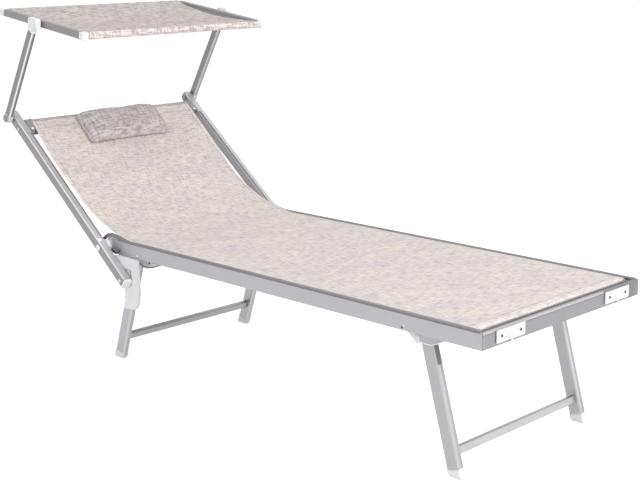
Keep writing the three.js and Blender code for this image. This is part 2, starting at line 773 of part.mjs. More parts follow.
// Canopy arms, built upright from the joint on the backrest rail
function addCanopyArms() {
	const radius = armDepth / 2;
	for (const [suffix, side] of sides) {
		const tube = extrudeZ(roundedTube(armDepth, armThickness, armRadius), radius, armLength - headNeckReach);
		addPiece(canopyArms, `canopy_arm_${suffix}`, tube.translate(0, side * armCentre, 0), aluminium);

		const [from, to] = spanOf(side, armInner, armOuter);
		const insideDepth = armDepth - 2 * wall - 2 * fitGap;
		const insideThickness = armThickness - 2 * wall - 2 * fitGap;
		const inside = roundedBar(insideDepth, insideThickness, armRadius - wall);
		const foot = extrudeY(roundEnd(radius, radius - fitGap), from, to, capBevel);
		const tongue = extrudeZ(inside, 0, radius + plugTongue).translate(0, side * armCentre, 0);
		const bore = pinY(armPinRadius + fitGap, -seatWidth, seatWidth);
		addPiece(canopyArms, `arm_foot_cap_${suffix}`, cut(join(foot, tongue), bore), greyPlastic);

		const inner = backRailInner - fitGap;
		const outer = armOuter + fitGap;
		const knob = turnedY([
			[0, inner - armNutLength],
			[armNutRadius, inner - armNutLength],
			[armNutRadius, inner],
			[armPinRadius, inner],
			[armPinRadius, outer],
			[knobRadius, outer],
			[knobRadius, outer + knobHeight / 2],
			[knobRadius / 2, outer + knobHeight],
			[0, outer + knobHeight],
		], side);
		addPiece(canopyArms, `arm_knob_${suffix}`, knob, greyPlastic);

		const block = extrudeY(roundedBar(headBlockLength, headBlockHeight, headBlockRadius), from, to, capBevel);
		const neck = extrudeZ(roundedBar(armDepth, armThickness, armRadius), fitGap - headNeckReach, 0);
		const plug = extrudeZ(inside, -headNeckReach - plugTongue, 0);
		const collar = pinY(headCollarRadius, ...spanOf(side, canopyBarOuter + fitGap, armCentre));
		const pin = pinY(armPinRadius, ...spanOf(side, canopyBarOuter - canopyBar + wall, armCentre));
		const head = join(block.rotateY(canopyTilt - armAngle), neck.translate(0, side * armCentre, 0),
			plug.translate(0, side * armCentre, 0), collar, pin).translate(0, 0, armLength);
		addPiece(canopyArms, `arm_head_block_${suffix}`, head, whitePlastic);
	}
}

// Canopy frame and fabric, built level round the arms' top joint
function addCanopyFrame() {
	const corner = cornerSize / 2;
	for (const [suffix, side] of sides) {
		const bar = extrudeX(roundedTube(canopyBar, canopyBar, canopyBarRadius),
			-canopyHeadReach + corner + fitGap, canopyFootReach - corner - fitGap);
		bar.translate(0, side * canopyHalfWidth, 0);
		const bore = pinY(armPinRadius + fitGap, ...spanOf(side, canopyHalfWidth, canopyBarOuter + overrun));
		addPiece(canopy, `canopy_side_bar_${suffix}`, cut(bar, bore), darkAluminium);
		for (const [end, x, towards] of [['head', -canopyHeadReach, 1], ['foot', canopyFootReach, -1]]) {
			const body = extrudeZ(roundedBar(cornerSize, cornerSize, cornerRadius), -cornerHeight / 2,
				cornerHeight / 2, capBevel);
			const inSide = canopyBar - 2 * wall - 2 * fitGap;
			const sideTongue = extrudeX(roundedBar(inSide, inSide, wall), 0, corner + cornerTongue);
			const hemTongue = pinY(canopyHemBar / 2 - wall - fitGap, 0, corner + cornerTongue);
			if (towards < 0) {
				sideTongue.rotateZ(Math.PI);
			}
			if (side > 0) {
				hemTongue.rotateZ(Math.PI);
			}
			const piece = join(body, sideTongue, hemTongue);
			const mesh = addPiece(canopy, `canopy_corner_${end}_${suffix}`, piece, whitePlastic);
			mesh.position.set(x, side * canopyHalfWidth, 0);
		}
	}
	const reach = canopyHalfWidth - corner - fitGap;
	for (const [end, x] of [['head', -canopyHeadReach], ['foot', canopyFootReach]]) {
		const bar = extrudeY(roundTube(canopyHemBar / 2), -reach, reach);
		addPiece(canopy, `canopy_${end}_bar`, bar, aluminium).position.x = x;
	}
}

function addCanopyFabric() {
	const turn = canopyHemBar / 2 + fitGap;
	const points = [
		[-canopyHeadReach + canopyHemLength, -turn],
		...arcPoints(-canopyHeadReach, 0, turn, -Math.PI / 2, -Math.PI * 1.5, 2 * cornerSteps).slice(0, -1),
		...saggingRun([-canopyHeadReach, turn], [canopyFootReach, turn], canopySag, 2 * cornerSteps),
		...arcPoints(canopyFootReach, 0, turn, Math.PI / 2, -Math.PI / 2, 2 * cornerSteps).slice(1),
		[canopyFootReach - canopyHemLength, -turn],
	];
	const cloth = extrudeY(clothOutline(points), -canopyFabricHalfWidth, canopyFabricHalfWidth);
	const reach = canopyHeadReach + canopyFootReach - 2 * canopyHemLength - 2 * turn;
	const bow = (reach * reach / 4 + canopyEdgeBow * canopyEdgeBow) / (2 * canopyEdgeBow);
	const bites = sides.map(([, side]) => {
		const bite = new THREE.CylinderGeometry(bow, bow, canopyBar + canopyHemBar, bowSteps).rotateX(Math.PI / 2);
		const middle = (canopyFootReach - canopyHeadReach) / 2;
		return bite.translate(middle, side * (canopyFabricHalfWidth - canopyEdgeBow + bow), 0);
	});
	addPiece(canopy, 'canopy_fabric', cut(cloth, ...bites), sling);
}

addSeatRails();
addFootPlates();
addHeadCaps();
addHingeBolts();
addFrontBrackets();
addRearRacks();
addSeatCrossPieces();
addSeatSling();
addSlingBend();
addBackrestRails();
addBackrestEnds();
addTopBar();
addBackrestSling();
addPillow();
addLegPair(frontLegs, 'front', frontPivotX, frontLegAngle, frontStretcherHeight, railInner - fitGap);
addLegPair(rearLegs, 'rear', rearPivotX, rearLegAngle, rearStretcherHeight, rackBoreEnd - fitGap);
addCanopyArms();
addCanopyFrame();
addCanopyFabric();

backrest.position.z = hingeHeight;
backrest.rotation.y = reclineAngle;
canopyArms.position.x = armPivotX;
canopyArms.rotation.y = armAngle - reclineAngle;
canopy.position.z = armLength;
canopy.rotation.y = canopyTilt - armAngle;
canopyArms.add(canopy);
backrest.add(canopyArms);
const whole = new THREE.Group();
whole.add(seatFrame, backrest, frontLegs, rearLegs);
const extent = new THREE.Box3().setFromObject(whole, true);
whole.position.x = -(extent.min.x + extent.max.x) / 2;
lounger.add(whole);
export default lounger;
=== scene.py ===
import json
import math

import bmesh
import bpy
from mathutils import Matrix, Vector, noise
from mathutils.bvhtree import BVHTree

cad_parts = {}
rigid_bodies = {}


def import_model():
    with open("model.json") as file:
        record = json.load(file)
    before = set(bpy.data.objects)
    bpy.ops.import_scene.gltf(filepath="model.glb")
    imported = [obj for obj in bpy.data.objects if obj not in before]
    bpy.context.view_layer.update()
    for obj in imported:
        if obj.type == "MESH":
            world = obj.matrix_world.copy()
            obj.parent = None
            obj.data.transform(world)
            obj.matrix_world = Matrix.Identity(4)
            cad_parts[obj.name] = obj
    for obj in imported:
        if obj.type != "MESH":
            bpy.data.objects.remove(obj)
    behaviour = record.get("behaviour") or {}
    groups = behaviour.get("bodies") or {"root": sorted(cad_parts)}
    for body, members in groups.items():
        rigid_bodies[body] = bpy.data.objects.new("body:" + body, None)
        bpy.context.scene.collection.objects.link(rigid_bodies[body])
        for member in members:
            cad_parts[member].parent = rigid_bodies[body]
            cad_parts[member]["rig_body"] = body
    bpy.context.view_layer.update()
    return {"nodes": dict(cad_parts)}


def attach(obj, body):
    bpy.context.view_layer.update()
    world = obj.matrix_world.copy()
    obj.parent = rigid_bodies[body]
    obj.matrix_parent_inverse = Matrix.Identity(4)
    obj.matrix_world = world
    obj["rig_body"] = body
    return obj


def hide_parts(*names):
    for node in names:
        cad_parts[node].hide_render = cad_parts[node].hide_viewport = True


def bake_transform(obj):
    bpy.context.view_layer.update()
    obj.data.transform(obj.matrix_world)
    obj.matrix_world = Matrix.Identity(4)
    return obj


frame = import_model()

# Camera: a long lens on the right of the foot end, a little above the lounger, level but for a slight
# lean, as the picture was taken.
scene = bpy.context.scene
camera = bpy.data.objects.new("camera", bpy.data.cameras.new("camera"))
scene.collection.objects.link(camera)
camera.location = (2.42491, -2.30430, 1.15551)
camera.rotation_euler = (1.342304, 0.011750, 0.788010)
camera.data.sensor_width = 36.0
camera.data.lens = 71.396
scene.camera = camera

# Studio: a white sweep of floor and air, a broad soft lamp past the foot end that lights the backrest, a
# weak one overhead, one by the camera, and two high ones that pick out the tubes' rounded corners.
scene.view_settings.view_transform = "Standard"
AMBIENT = 0.60
WHITE = (1.0, 1.0, 1.0, 1.0)
AIR_WHITE = (0.98, 0.985, 1.0, 1.0)
FLOOR_WHITE = (0.86, 0.86, 0.86, 1.0)
FLOOR_HALF = 30.0
FLOOR_DROP = 0.0005


# An input gets a value, or a link when the value is another node's output.
def feed(tree, node, values):
    for label, value in values.items():
        if isinstance(value, bpy.types.NodeSocket):
            tree.links.new(value, node.inputs[label])
        else:
            node.inputs[label].default_value = value


def add_node(tree, kind, values, **settings):
    node = tree.nodes.new(f"ShaderNode{kind}")
    for label, value in settings.items():
        setattr(node, label, value)
    feed(tree, node, values)
    return node


def add_math(tree, operation, *values):
    return add_node(tree, "Math", dict(enumerate(values)), operation=operation).outputs[0]


def add_seen(tree):
    path = tree.nodes.new("ShaderNodeLightPath")
    either = add_math(tree, "MAXIMUM", path.outputs["Is Camera Ray"], path.outputs["Is Glossy Ray"])
    return add_math(tree, "MAXIMUM", either, path.outputs["Is Transmission Ray"])


world = bpy.data.worlds.new("white_room")
scene.world = world
world.use_nodes = True
tree = world.node_tree
tree.nodes.clear()
seen = add_node(tree, "Background", {"Color": WHITE})
air = add_node(tree, "Background", {"Color": AIR_WHITE, "Strength": AMBIENT})
mix = add_node(tree, "MixShader", {"Fac": add_seen(tree), 1: air.outputs[0], 2: seen.outputs[0]})
add_node(tree, "OutputWorld", {"Surface": mix.outputs[0]})


def add_lamp(name, place, target, size, power):
    lamp = bpy.data.objects.new(name, bpy.data.lights.new(name, "AREA"))
    lamp.data.shape = "RECTANGLE"
    lamp.data.size, lamp.data.size_y = size
    lamp.data.energy = power
    lamp.location = place
    lamp.rotation_euler = (Vector(target) - Vector(place)).to_track_quat("-Z", "Y").to_euler()
    scene.collection.objects.link(lamp)


add_lamp("lamp_over", (0.0, -0.3, 3.4), (0.0, 0.0, 0.3), (2.2, 2.2), 6.0)
add_lamp("lamp_front", (3.0, -3.0, 2.1), (0.0, 0.0, 0.5), (1.3, 1.3), 19.0)
add_lamp("lamp_foot", (4.2, 0.3, 2.35), (-0.7, 0.0, 0.55), (2.0, 2.0), 88.0)
add_lamp("lamp_ridge", (-1.0, -2.7, 3.1), (-0.4, 0.0, 0.5), (1.0, 1.0), 14.0)
add_lamp("lamp_head", (-1.2, 1.8, 3.3), (-0.4, 0.0, 0.5), (1.6, 1.6), 8.0)

bpy.ops.object.select_all(action="DESELECT")
bpy.ops.mesh.primitive_plane_add(size=2 * FLOOR_HALF, location=(0, 0, -FLOOR_DROP))
floor = bpy.context.object
floor.name = "floor"
floor_white = bpy.data.materials.new("floor_white")
floor_white.use_nodes = True
tree = floor_white.node_tree
tree.nodes.clear()
paint = add_node(tree, "BsdfDiffuse", {"Color": FLOOR_WHITE})
glow = add_node(tree, "Emission", {"Color": WHITE, "Strength": add_math(tree, "MULTIPLY", add_seen(tree), AMBIENT)})
both = add_node(tree, "AddShader", {0: paint.outputs[0], 1: glow.outputs[0]})
add_node(tree, "OutputMaterial", {"Surface": both.outputs[0]})
floor.data.materials.append(floor_white)

# Seat rails and foot rail: drawn aluminium channels with satin anodising, mitred and joined at the foot
# corners. Each is the frame's own section with its sharp edges broken and its rounds made smooth.
DRAWN_LINES = (3.0, 900.0, 900.0)
GRAIN_HEIGHT = 0.0002
EDGE_BREAK = 0.0007
EDGE_ANGLE = math.radians(38.0)
FLAT_ANGLE = math.radians(0.5)
MERGE = 0.00001


def add_group(name, inputs, outputs):
    group = bpy.data.node_groups.new(name, "ShaderNodeTree")
    for label, kind, value in inputs:
        socket = group.interface.new_socket(label, in_out="INPUT", socket_type=f"NodeSocket{kind}")
        if value is not None:
            socket.default_value = value
    for label, kind in outputs:
        group.interface.new_socket(label, in_out="OUTPUT", socket_type=f"NodeSocket{kind}")
    return group, group.nodes.new("NodeGroupInput"), group.nodes.new("NodeGroupOutput")


def add_scaled(tree, vector, scale):
    return add_node(tree, "VectorMath", {0: vector, 1: scale}, operation="MULTIPLY").outputs[0]


def add_shade(tree, colour, share):
    return add_node(tree, "VectorMath", {0: colour, "Scale": share}, operation="SCALE").outputs[0]


# A scale of three numbers stretches the noise.
def add_noise(tree, vector, scale, detail, roughness):
    if isinstance(scale, tuple):
        vector, scale = add_scaled(tree, vector, scale), 1.0
    values = {"Vector": vector, "Scale": scale, "Detail": detail, "Roughness": roughness}
    return add_node(tree, "TexNoise", values).outputs["Fac"]


def add_blend(tree, share, low, high):
    return add_node(tree, "Mix", {"Factor": share, "A": low, "B": high}, data_type="RGBA").outputs["Result"]


# A noise that lies about a half becomes a swing of the given width about the centre.
def add_swing(tree, value, width, centre):
    return add_math(tree, "MULTIPLY_ADD", add_math(tree, "SUBTRACT", value, 0.5), width, centre)


# The group gives the fine lines of drawing along X, faint handling marks and their height, and a painted
# highlight: a lighter colour on the rounded corners and, by the Top share, on faces that look upwards.
drawn, given, made = add_group("drawn_metal", [
    ("Vector", "Vector", None),
    ("Facing", "Vector", None),
    ("Colour", "Color", (0.5, 0.5, 0.5, 1.0)),
    ("Painted_highlight", "Color", (0.8, 0.8, 0.8, 1.0)),
    ("Corner", "Float", 0.0),
    ("Top", "Float", 0.0),
    ("Roughness", "Float", 0.4),
], [("Colour", "Color"), ("Roughness", "Float"), ("Height", "Float")])
facing = add_node(drawn, "SeparateXYZ", {0: given.outputs["Facing"]})
corner = add_math(drawn, "ABSOLUTE", add_math(drawn, "MULTIPLY", facing.outputs["Y"], facing.outputs["Z"]))
corner = add_math(drawn, "MULTIPLY", add_math(drawn, "POWER", add_math(drawn, "MULTIPLY", corner, 2.0), 2.0),
                  given.outputs["Corner"])
upper = add_math(drawn, "POWER", add_math(drawn, "MAXIMUM", facing.outputs["Z"], 0.0), 6.0)
highlight_share = add_math(drawn, "MULTIPLY_ADD", upper, given.outputs["Top"], corner)
base = add_blend(drawn, highlight_share, given.outputs["Colour"], given.outputs["Painted_highlight"])
lines = add_noise(drawn, given.outputs["Vector"], DRAWN_LINES, 3.0, 0.6)
marks = add_noise(drawn, given.outputs["Vector"], 14.0, 4.0, 0.6)
tone = add_swing(drawn, lines, 0.10, add_swing(drawn, marks, 0.12, 1.0))
feed(drawn, made, {"Colour": add_shade(drawn, base, tone), "Height": lines,
                   "Roughness": add_swing(drawn, marks, 0.16, given.outputs["Roughness"])})


def add_material(name):
    material = bpy.data.materials.new(name)
    material.use_nodes = True
    return material, material.node_tree, material.node_tree.nodes["Principled BSDF"]


def add_mapping(tree, vector, turn, kind="POINT"):
    return add_node(tree, "Mapping", {"Vector": vector, "Rotation": turn}, vector_type=kind).outputs[0]


def add_bump(tree, surface, height, strength, distance):
    bump = add_node(tree, "Bump", {"Strength": strength, "Distance": distance, "Height": height})
    feed(tree, surface, {"Normal": bump.outputs[0]})


def wear_grain(tree, surface, grain, strength):
    feed(tree, surface, {"Base Color": grain.outputs["Colour"], "Roughness": grain.outputs["Roughness"]})
    add_bump(tree, surface, grain.outputs["Height"], strength, GRAIN_HEIGHT)


# corner and top are the shares of painted highlight on rounded corners and on upward faces.
def drawn_metal(name, colour, roughness, turn, metallic=0.8, corner=0.0, top=0.0):
    material, tree, surface = add_material(name)
    place = tree.nodes.new("ShaderNodeTexCoord")
    grain = add_node(tree, "Group", {
        "Vector": add_mapping(tree, place.outputs["Object"], turn),
        "Facing": add_mapping(tree, place.outputs["Normal"], turn, "VECTOR"),
        "Colour": (*colour, 1.0), "Roughness": roughness, "Corner": corner, "Top": top}, node_tree=drawn)
    wear_grain(tree, surface, grain, 0.10)
    surface.inputs["Metallic"].default_value = metallic
    return material


def select_only(piece):
    bpy.ops.object.select_all(action="DESELECT")
    piece.select_set(True)
    bpy.context.view_layer.objects.active = piece


def apply_modifiers(piece):
    select_only(piece)
    for modifier in list(piece.modifiers):
        bpy.ops.object.modifier_apply(modifier=modifier.name)


def dress(piece, material):
    piece.data.materials.clear()
    piece.data.materials.append(material)


def break_edges(piece):
    broken = piece.modifiers.new("edges", "BEVEL")
    broken.width = EDGE_BREAK
    broken.segments = 2
    broken.limit_method = "ANGLE"
    broken.angle_limit = EDGE_ANGLE
    apply_modifiers(piece)
    bpy.ops.object.shade_smooth_by_angle(angle=EDGE_ANGLE)
    weighted = piece.modifiers.new("flats", "WEIGHTED_NORMAL")
    weighted.keep_sharp = True
    apply_modifiers(piece)


# A copy of a CAD node's mesh with its loose triangles merged, left in edit mode with all selected.
def open_copy(node, name):
    piece = bpy.data.objects.new(name, frame["nodes"][node].data.copy())
    scene.collection.objects.link(piece)
    select_only(piece)
    bpy.ops.object.mode_set(mode="EDIT")
    bpy.ops.mesh.select_all(action="SELECT")
    bpy.ops.mesh.remove_doubles(threshold=MERGE)
    return piece


def finished(node, name, material):
    piece = open_copy(node, name)
    bpy.ops.mesh.dissolve_limited(angle_limit=FLAT_ANGLE)
    bpy.ops.object.mode_set(mode="OBJECT")
    dress(piece, material)
    break_edges(piece)
    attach(piece, frame["nodes"][node]["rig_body"])
    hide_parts(node)


RAIL_GREY = (0.435, 0.430, 0.450)
ALONG_X = (0.0, 0.0, 0.0)
ALONG_Y = (0.0, 0.0, math.radians(90))
SIDES = (("right", -1), ("left", 1))
rail_metal = drawn_metal("satin_rail", RAIL_GREY, 0.42, ALONG_X)
cross_metal = drawn_metal("satin_cross_bar", (0.305, 0.300, 0.315), 0.46, ALONG_Y)
for suffix, side in SIDES:
    finished(f"seat_rail_{suffix}", f"drawn_seat_rail_{suffix}", rail_metal)
finished("foot_rail", "drawn_foot_rail", cross_metal)
finished("seat_cross_tube", "drawn_cross_tube", cross_metal)

# Edge strips: dark ribbed profiles of moulded plastic, pressed over the seat rails' lips, which hide the cloth's held
# edge; their dark colour is painted shade of the cloth's wrapped edge and the rail's channel mouth. At the head end
# each strip is free of its rail and curls up and over in front of the hinge, with a grey web under the curl and a
# black knot at its end.
STRIP_OUT, STRIP_IN = 0.3005, 0.2860
STRIP_HALF = (STRIP_OUT - STRIP_IN) / 2
STRIP_MIDDLE = (STRIP_OUT + STRIP_IN) / 2
STRIP_FREE = -0.335
STRIP_BASE = 0.3737
STRIP_PLACES = (0.8668, 0.8, 0.6, 0.4, 0.2, 0.0, -0.2, -0.3, STRIP_FREE)
WEB_Y, WEB_LOW, WEB_TOP_GAP = 0.2960, 0.3700, 0.3702
KNOT_Y, KNOT_Z = 0.2972, 0.3690
ACROSS = Vector((0, 1, 0))
UP = Vector((0, 0, 1))

moulded, given, made = add_group("moulded_plastic", [
    ("Vector", "Vector", None),
    ("Colour", "Color", (0.8, 0.8, 0.8, 1.0)),
    ("Roughness", "Float", 0.5),
], [("Colour", "Color"), ("Roughness", "Float"), ("Height", "Float")])
cloud = add_noise(moulded, given.outputs["Vector"], 45.0, 3.0, 0.55)
feed(moulded, made, {
    "Colour": add_shade(moulded, given.outputs["Colour"], add_swing(moulded, cloud, 0.12, 1.0)),
    "Roughness": add_swing(moulded, cloud, 0.2, given.outputs["Roughness"]),
    "Height": add_noise(moulded, given.outputs["Vector"], 1600.0, 2.0, 0.5)})


def moulded_plastic(name, colour, roughness):
    material, tree, surface = add_material(name)
    place = tree.nodes.new("ShaderNodeTexCoord").outputs["Object"]
    grain = add_node(tree, "Group", {"Vector": place, "Colour": (*colour, 1.0), "Roughness": roughness},
                     node_tree=moulded)
    wear_grain(tree, surface, grain, 0.15)
    return material


def fitted(piece, name, material, body, smooth=40.0):
    select_only(piece)
    piece.name = name
    dress(piece, material)
    bpy.ops.object.mode_set(mode="EDIT")
    bpy.ops.mesh.select_all(action="SELECT")
    bpy.ops.mesh.remove_doubles(threshold=MERGE)
    bpy.ops.mesh.normals_make_consistent(inside=False)
    bpy.ops.object.mode_set(mode="OBJECT")
    bpy.ops.object.shade_smooth_by_angle(angle=math.radians(smooth))
    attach(piece, body)


# A drawn or moulded strip: its section, given as (across, up), is extruded from station to station.
def swept(section, stations):
    bpy.ops.object.select_all(action="DESELECT")
    bpy.ops.mesh.primitive_circle_add(vertices=len(section), radius=1.0, fill_type="NGON")
    piece = bpy.context.object
    bpy.ops.object.mode_set(mode="EDIT")
    shell = bmesh.from_edit_mesh(piece.data)
    shell.verts.ensure_lookup_table()

    def ring(place):
        origin, across, up, width, height = place
        return [origin + across * (a * width) + up * (b * height) for a, b in section]

    before = ring(stations[0])
    for vertex, point in zip(shell.verts, before):
        vertex.co = point
    bmesh.update_edit_mesh(piece.data)
    for place in stations[1:]:
        bpy.ops.mesh.extrude_region_move()
        shell = bmesh.from_edit_mesh(piece.data)
        after = ring(place)
        for vertex in (v for v in shell.verts if v.select):
            nearest = min(range(len(before)), key=lambda i: (before[i] - vertex.co).length_squared)
            vertex.co = after[nearest]
        bmesh.update_edit_mesh(piece.data)
        before = after
    bpy.ops.object.mode_set(mode="OBJECT")
    return piece


def station(place, across, up, width=1.0, height=1.0):
    return Vector(place), Vector(across), Vector(up), width, height


def level_station(x, y, z, along, width=1.0, height=1.0):
    forward = Vector(along).normalized()
    across = UP.cross(forward).normalized()
    return station((x, y, z), across, forward.cross(across).normalized(), width, height)


def box_section(half, low, high):
    return [(-half, low), (-half, high), (half, high), (half, low)]


# One dark material, painted shade, for the edge strips and for the dark lines, marks and plates below.
painted_shade_dark = moulded_plastic("painted_shade_dark_strip", (0.225, 0.210, 0.220), 0.42)
web_plastic = moulded_plastic("edge_strip_web", (0.62, 0.605, 0.62), 0.5)
black_plastic = moulded_plastic("black_plastic", (0.045, 0.045, 0.05), 0.5)
strip_section = [(-STRIP_HALF, -0.0032), (-STRIP_HALF + 0.0001, 0.0006), (-STRIP_HALF + 0.0020, 0.0018),
                 (-0.0015, 0.0024), (0.0020, 0.0022), (STRIP_HALF - 0.0018, 0.0016), (STRIP_HALF, 0.0004),
                 (STRIP_HALF, -0.0002), (-STRIP_HALF + 0.0053, -0.0002), (-STRIP_HALF + 0.0052, 0.0004),
                 (-STRIP_HALF + 0.0004, 0.0004), (-STRIP_HALF + 0.0003, -0.0032)]
curl_path = [(-0.3436, 0.3740), (-0.3620, 0.3752), (-0.3801, 0.3776), (-0.3990, 0.3815), (-0.4167, 0.3848),
             (-0.4300, 0.3850), (-0.4421, 0.3828), (-0.4520, 0.3780), (-0.4609, 0.3706)]
for suffix, side in SIDES:
    level = (-side, 0, 0)
    stations = [level_station(x, side * STRIP_MIDDLE, STRIP_BASE, level) for x in STRIP_PLACES]
    for i, (x, z) in enumerate(curl_path):
        near, far = curl_path[max(i - 1, 0)], curl_path[min(i + 1, len(curl_path) - 1)]
        ahead = Vector((near[0] - far[0], 0, near[1] - far[1])) * -side
        narrow, thick = max(1.0 - 0.04 * i, 0.75), min(1.0 + 0.06 * i, 1.4)
        stations.append(level_station(x, side * (STRIP_MIDDLE + 0.0003 * i), z, ahead, narrow, thick))
    fitted(swept(strip_section, stations), f"edge_strip_{suffix}", painted_shade_dark, "seat_frame", 50)
    web = swept(box_section(0.0012, 0.0, 1.0), [
        level_station(x, side * WEB_Y, WEB_LOW, level, 1.0, max(z - WEB_TOP_GAP, 0.0006))
        for x, z in [(STRIP_FREE, STRIP_BASE)] + curl_path[:-1]])
    fitted(web, f"edge_strip_web_{suffix}", web_plastic, "seat_frame", 50)
    knot = swept(box_section(0.0042, -0.0035, 0.0030), [
        level_station(x, side * KNOT_Y, KNOT_Z, level, size, size)
        for x, size in ((-0.4555, 0.7), (-0.4575, 1.0), (-0.4640, 1.0), (-0.4660, 0.7))])
    fitted(knot, f"edge_strip_end_{suffix}", black_plastic, "seat_frame", 50)

# Foot rail's dressing: a near-black strip in its groove over the cloth's foot hem, painted shade of the hem and gap;
# a rolled bead along the top of its face, lighter as a painted highlight; a dark line under it, painted shadow; and
# on the left corner the bead's far end and an end plate in dark, painted shade.
FOOT_STRIP_X, FOOT_STRIP_Z, FOOT_STRIP_END = 0.8640, 0.3722, 0.286
BEAD_X, SHADE_BEAD_X, BEAD_Z = 0.8722, 0.8723, 0.3700
BEAD_SHADE_FROM, BEAD_END = 0.148, 0.2985
FOOT_SHADE_LINE_X, FOOT_SHADE_LINE_Z = 0.87335, 0.3656
CORNER_Y, CORNER_Z = 0.2812, 0.3535


def cross_run(x, z, places, height=1.0):
    return [level_station(x, y, z, ACROSS, 1.0, height) for y in places]


def round_section(width, height, count):
    turns = [math.radians(360 * i / count) for i in range(count)]
    return [(width * math.cos(turn), height * math.sin(turn)) for turn in turns]


# Near-black: painted shade of the foot hem's under side and the gap beside it.
foot_gap_shade = moulded_plastic("painted_shade_foot_strip", (0.080, 0.074, 0.077), 0.55)
# The bead's pale colour is a painted highlight on the rail's rounded lip.
bead_highlight_metal = drawn_metal("bead_painted_highlight", (0.50, 0.49, 0.50), 0.34, ALONG_Y)
foot_section = [(-0.0052, -0.0016), (-0.0050, 0.0004), (-0.0030, 0.0012), (0.0030, 0.0012), (0.0050, 0.0004),
                (0.0052, -0.0016)]
foot_strip = swept(foot_section, cross_run(FOOT_STRIP_X, FOOT_STRIP_Z, (-FOOT_STRIP_END, 0.0, FOOT_STRIP_END)))
fitted(foot_strip, "foot_strip", foot_gap_shade, "seat_frame", 50)
bead_section = round_section(0.0021, 0.0036, 24)
bead = swept(bead_section, cross_run(BEAD_X, BEAD_Z, (-BEAD_END, -0.15, 0.0, BEAD_SHADE_FROM)))
fitted(bead, "foot_rail_bead", bead_highlight_metal, "seat_frame", 50)
# From the middle to the left end the bead is dark: painted shade.
far_shade_bead = swept(bead_section, cross_run(SHADE_BEAD_X, BEAD_Z, (BEAD_SHADE_FROM, 0.2, BEAD_END), 1.1))
fitted(far_shade_bead, "foot_rail_painted_shade_bead", painted_shade_dark, "seat_frame", 50)
# Dark lines under the bead: painted shadow.
for name, start, end in (("right", -0.2975, -0.2556), ("middle", -0.1544, 0.1544)):
    groove = swept(box_section(0.0005, -0.0006, 0.0006), cross_run(FOOT_SHADE_LINE_X, FOOT_SHADE_LINE_Z, (start, end)))
    fitted(groove, f"foot_rail_shade_line_{name}", painted_shade_dark, "seat_frame", 50)
# Dark end plate on the left corner: painted shade.
corner_section = [(-0.0182, -0.0185), (-0.0182, 0.0165), (-0.0165, 0.0180), (0.0165, 0.0180), (0.0182, 0.0160),
                  (0.0182, -0.0185)]
far_corner_shade = swept(corner_section, [station((x, CORNER_Y, CORNER_Z), ACROSS, UP, size, size)
                                      for x, size in ((0.8730, 1.0), (0.8742, 1.0), (0.8746, 0.96))])
fitted(far_corner_shade, "foot_corner_painted_shade", painted_shade_dark, "seat_frame", 50)

# Feet, plates, racks, bushes and corners: moulded white plastic with a satin skin, faintly cloudy. Caps and
# knobs at the head are moulded in grey. All are pushed on or screwed to the tubes.
white_plastic = moulded_plastic("white_plastic", (0.94, 0.935, 0.945), 0.48)
plate_plastic = moulded_plastic("plate_plastic", (0.77, 0.765, 0.775), 0.5)
pale_plastic = moulded_plastic("pale_plastic", (0.74, 0.73, 0.75), 0.45)
grey_plastic = moulded_plastic("grey_plastic", (0.34, 0.335, 0.345), 0.5)
WHITE_NODES = ("hinge_bush", "front_leg_bracket", "backrest_rack", "backrest_low_plug", "front_foot", "rear_foot",
               "arm_head_block", "canopy_corner_head", "canopy_corner_foot")
GREY_NODES = (("rail_head_cap", web_plastic), ("top_bar_bracket", grey_plastic), ("backrest_top_cap", grey_plastic),
              ("arm_foot_cap", pale_plastic), ("arm_knob", grey_plastic))
for suffix, side in SIDES:
    finished(f"foot_plate_{suffix}", f"moulded_foot_plate_{suffix}", plate_plastic)
    for node in WHITE_NODES:
        finished(f"{node}_{suffix}", f"moulded_{node}_{suffix}", white_plastic)
    for node, plastic in GREY_NODES:
        finished(f"{node}_{suffix}", f"moulded_{node}_{suffix}", plastic)

# Foot plates' fixings: two dark pan-head screws through each plate and, between them, a small hook moulded
# on the plate that the carrying strap goes over; it reaches just past the plate's lower edge.
PLATE_FACE, PLATE_MIDDLE = 0.8767, 0.205
SCREW_OUT, SCREW_Z = 0.033, 0.3545
SUNK = 0.0004
TURNED_SIDES = 28


# A turned piece, such as a screw, rivet or plug: a disc is extruded along its axis from ring to ring.
def turned(rings, place, towards):
    bpy.ops.object.select_all(action="DESELECT")
    bpy.ops.mesh.primitive_circle_add(vertices=TURNED_SIDES, radius=rings[0][0], fill_type="NGON")
    piece = bpy.context.object
    bpy.ops.object.mode_set(mode="EDIT")
    bpy.ops.mesh.select_all(action="SELECT")
    for (before, low), (after, high) in zip(rings, rings[1:]):
        bpy.ops.mesh.extrude_region_move(TRANSFORM_OT_translate={"value": (0, 0, high - low)})
        if after != before:
            bpy.ops.transform.resize(value=(after / before, after / before, 1.0))
    bpy.ops.object.mode_set(mode="OBJECT")
    piece.matrix_world = Matrix.Translation(place) @ Vector(towards).to_track_quat("Z", "Y").to_matrix().to_4x4()
    bpy.ops.object.transform_apply(location=True, rotation=True, scale=True)
    return piece


def screw_rings(radius, height):
    return [(radius, 0.0), (radius, 0.4 * height), (0.88 * radius, 0.8 * height), (0.62 * radius, height),
            (0.46 * radius, height), (0.42 * radius, 0.45 * height), (0.05 * radius, 0.4 * height)]


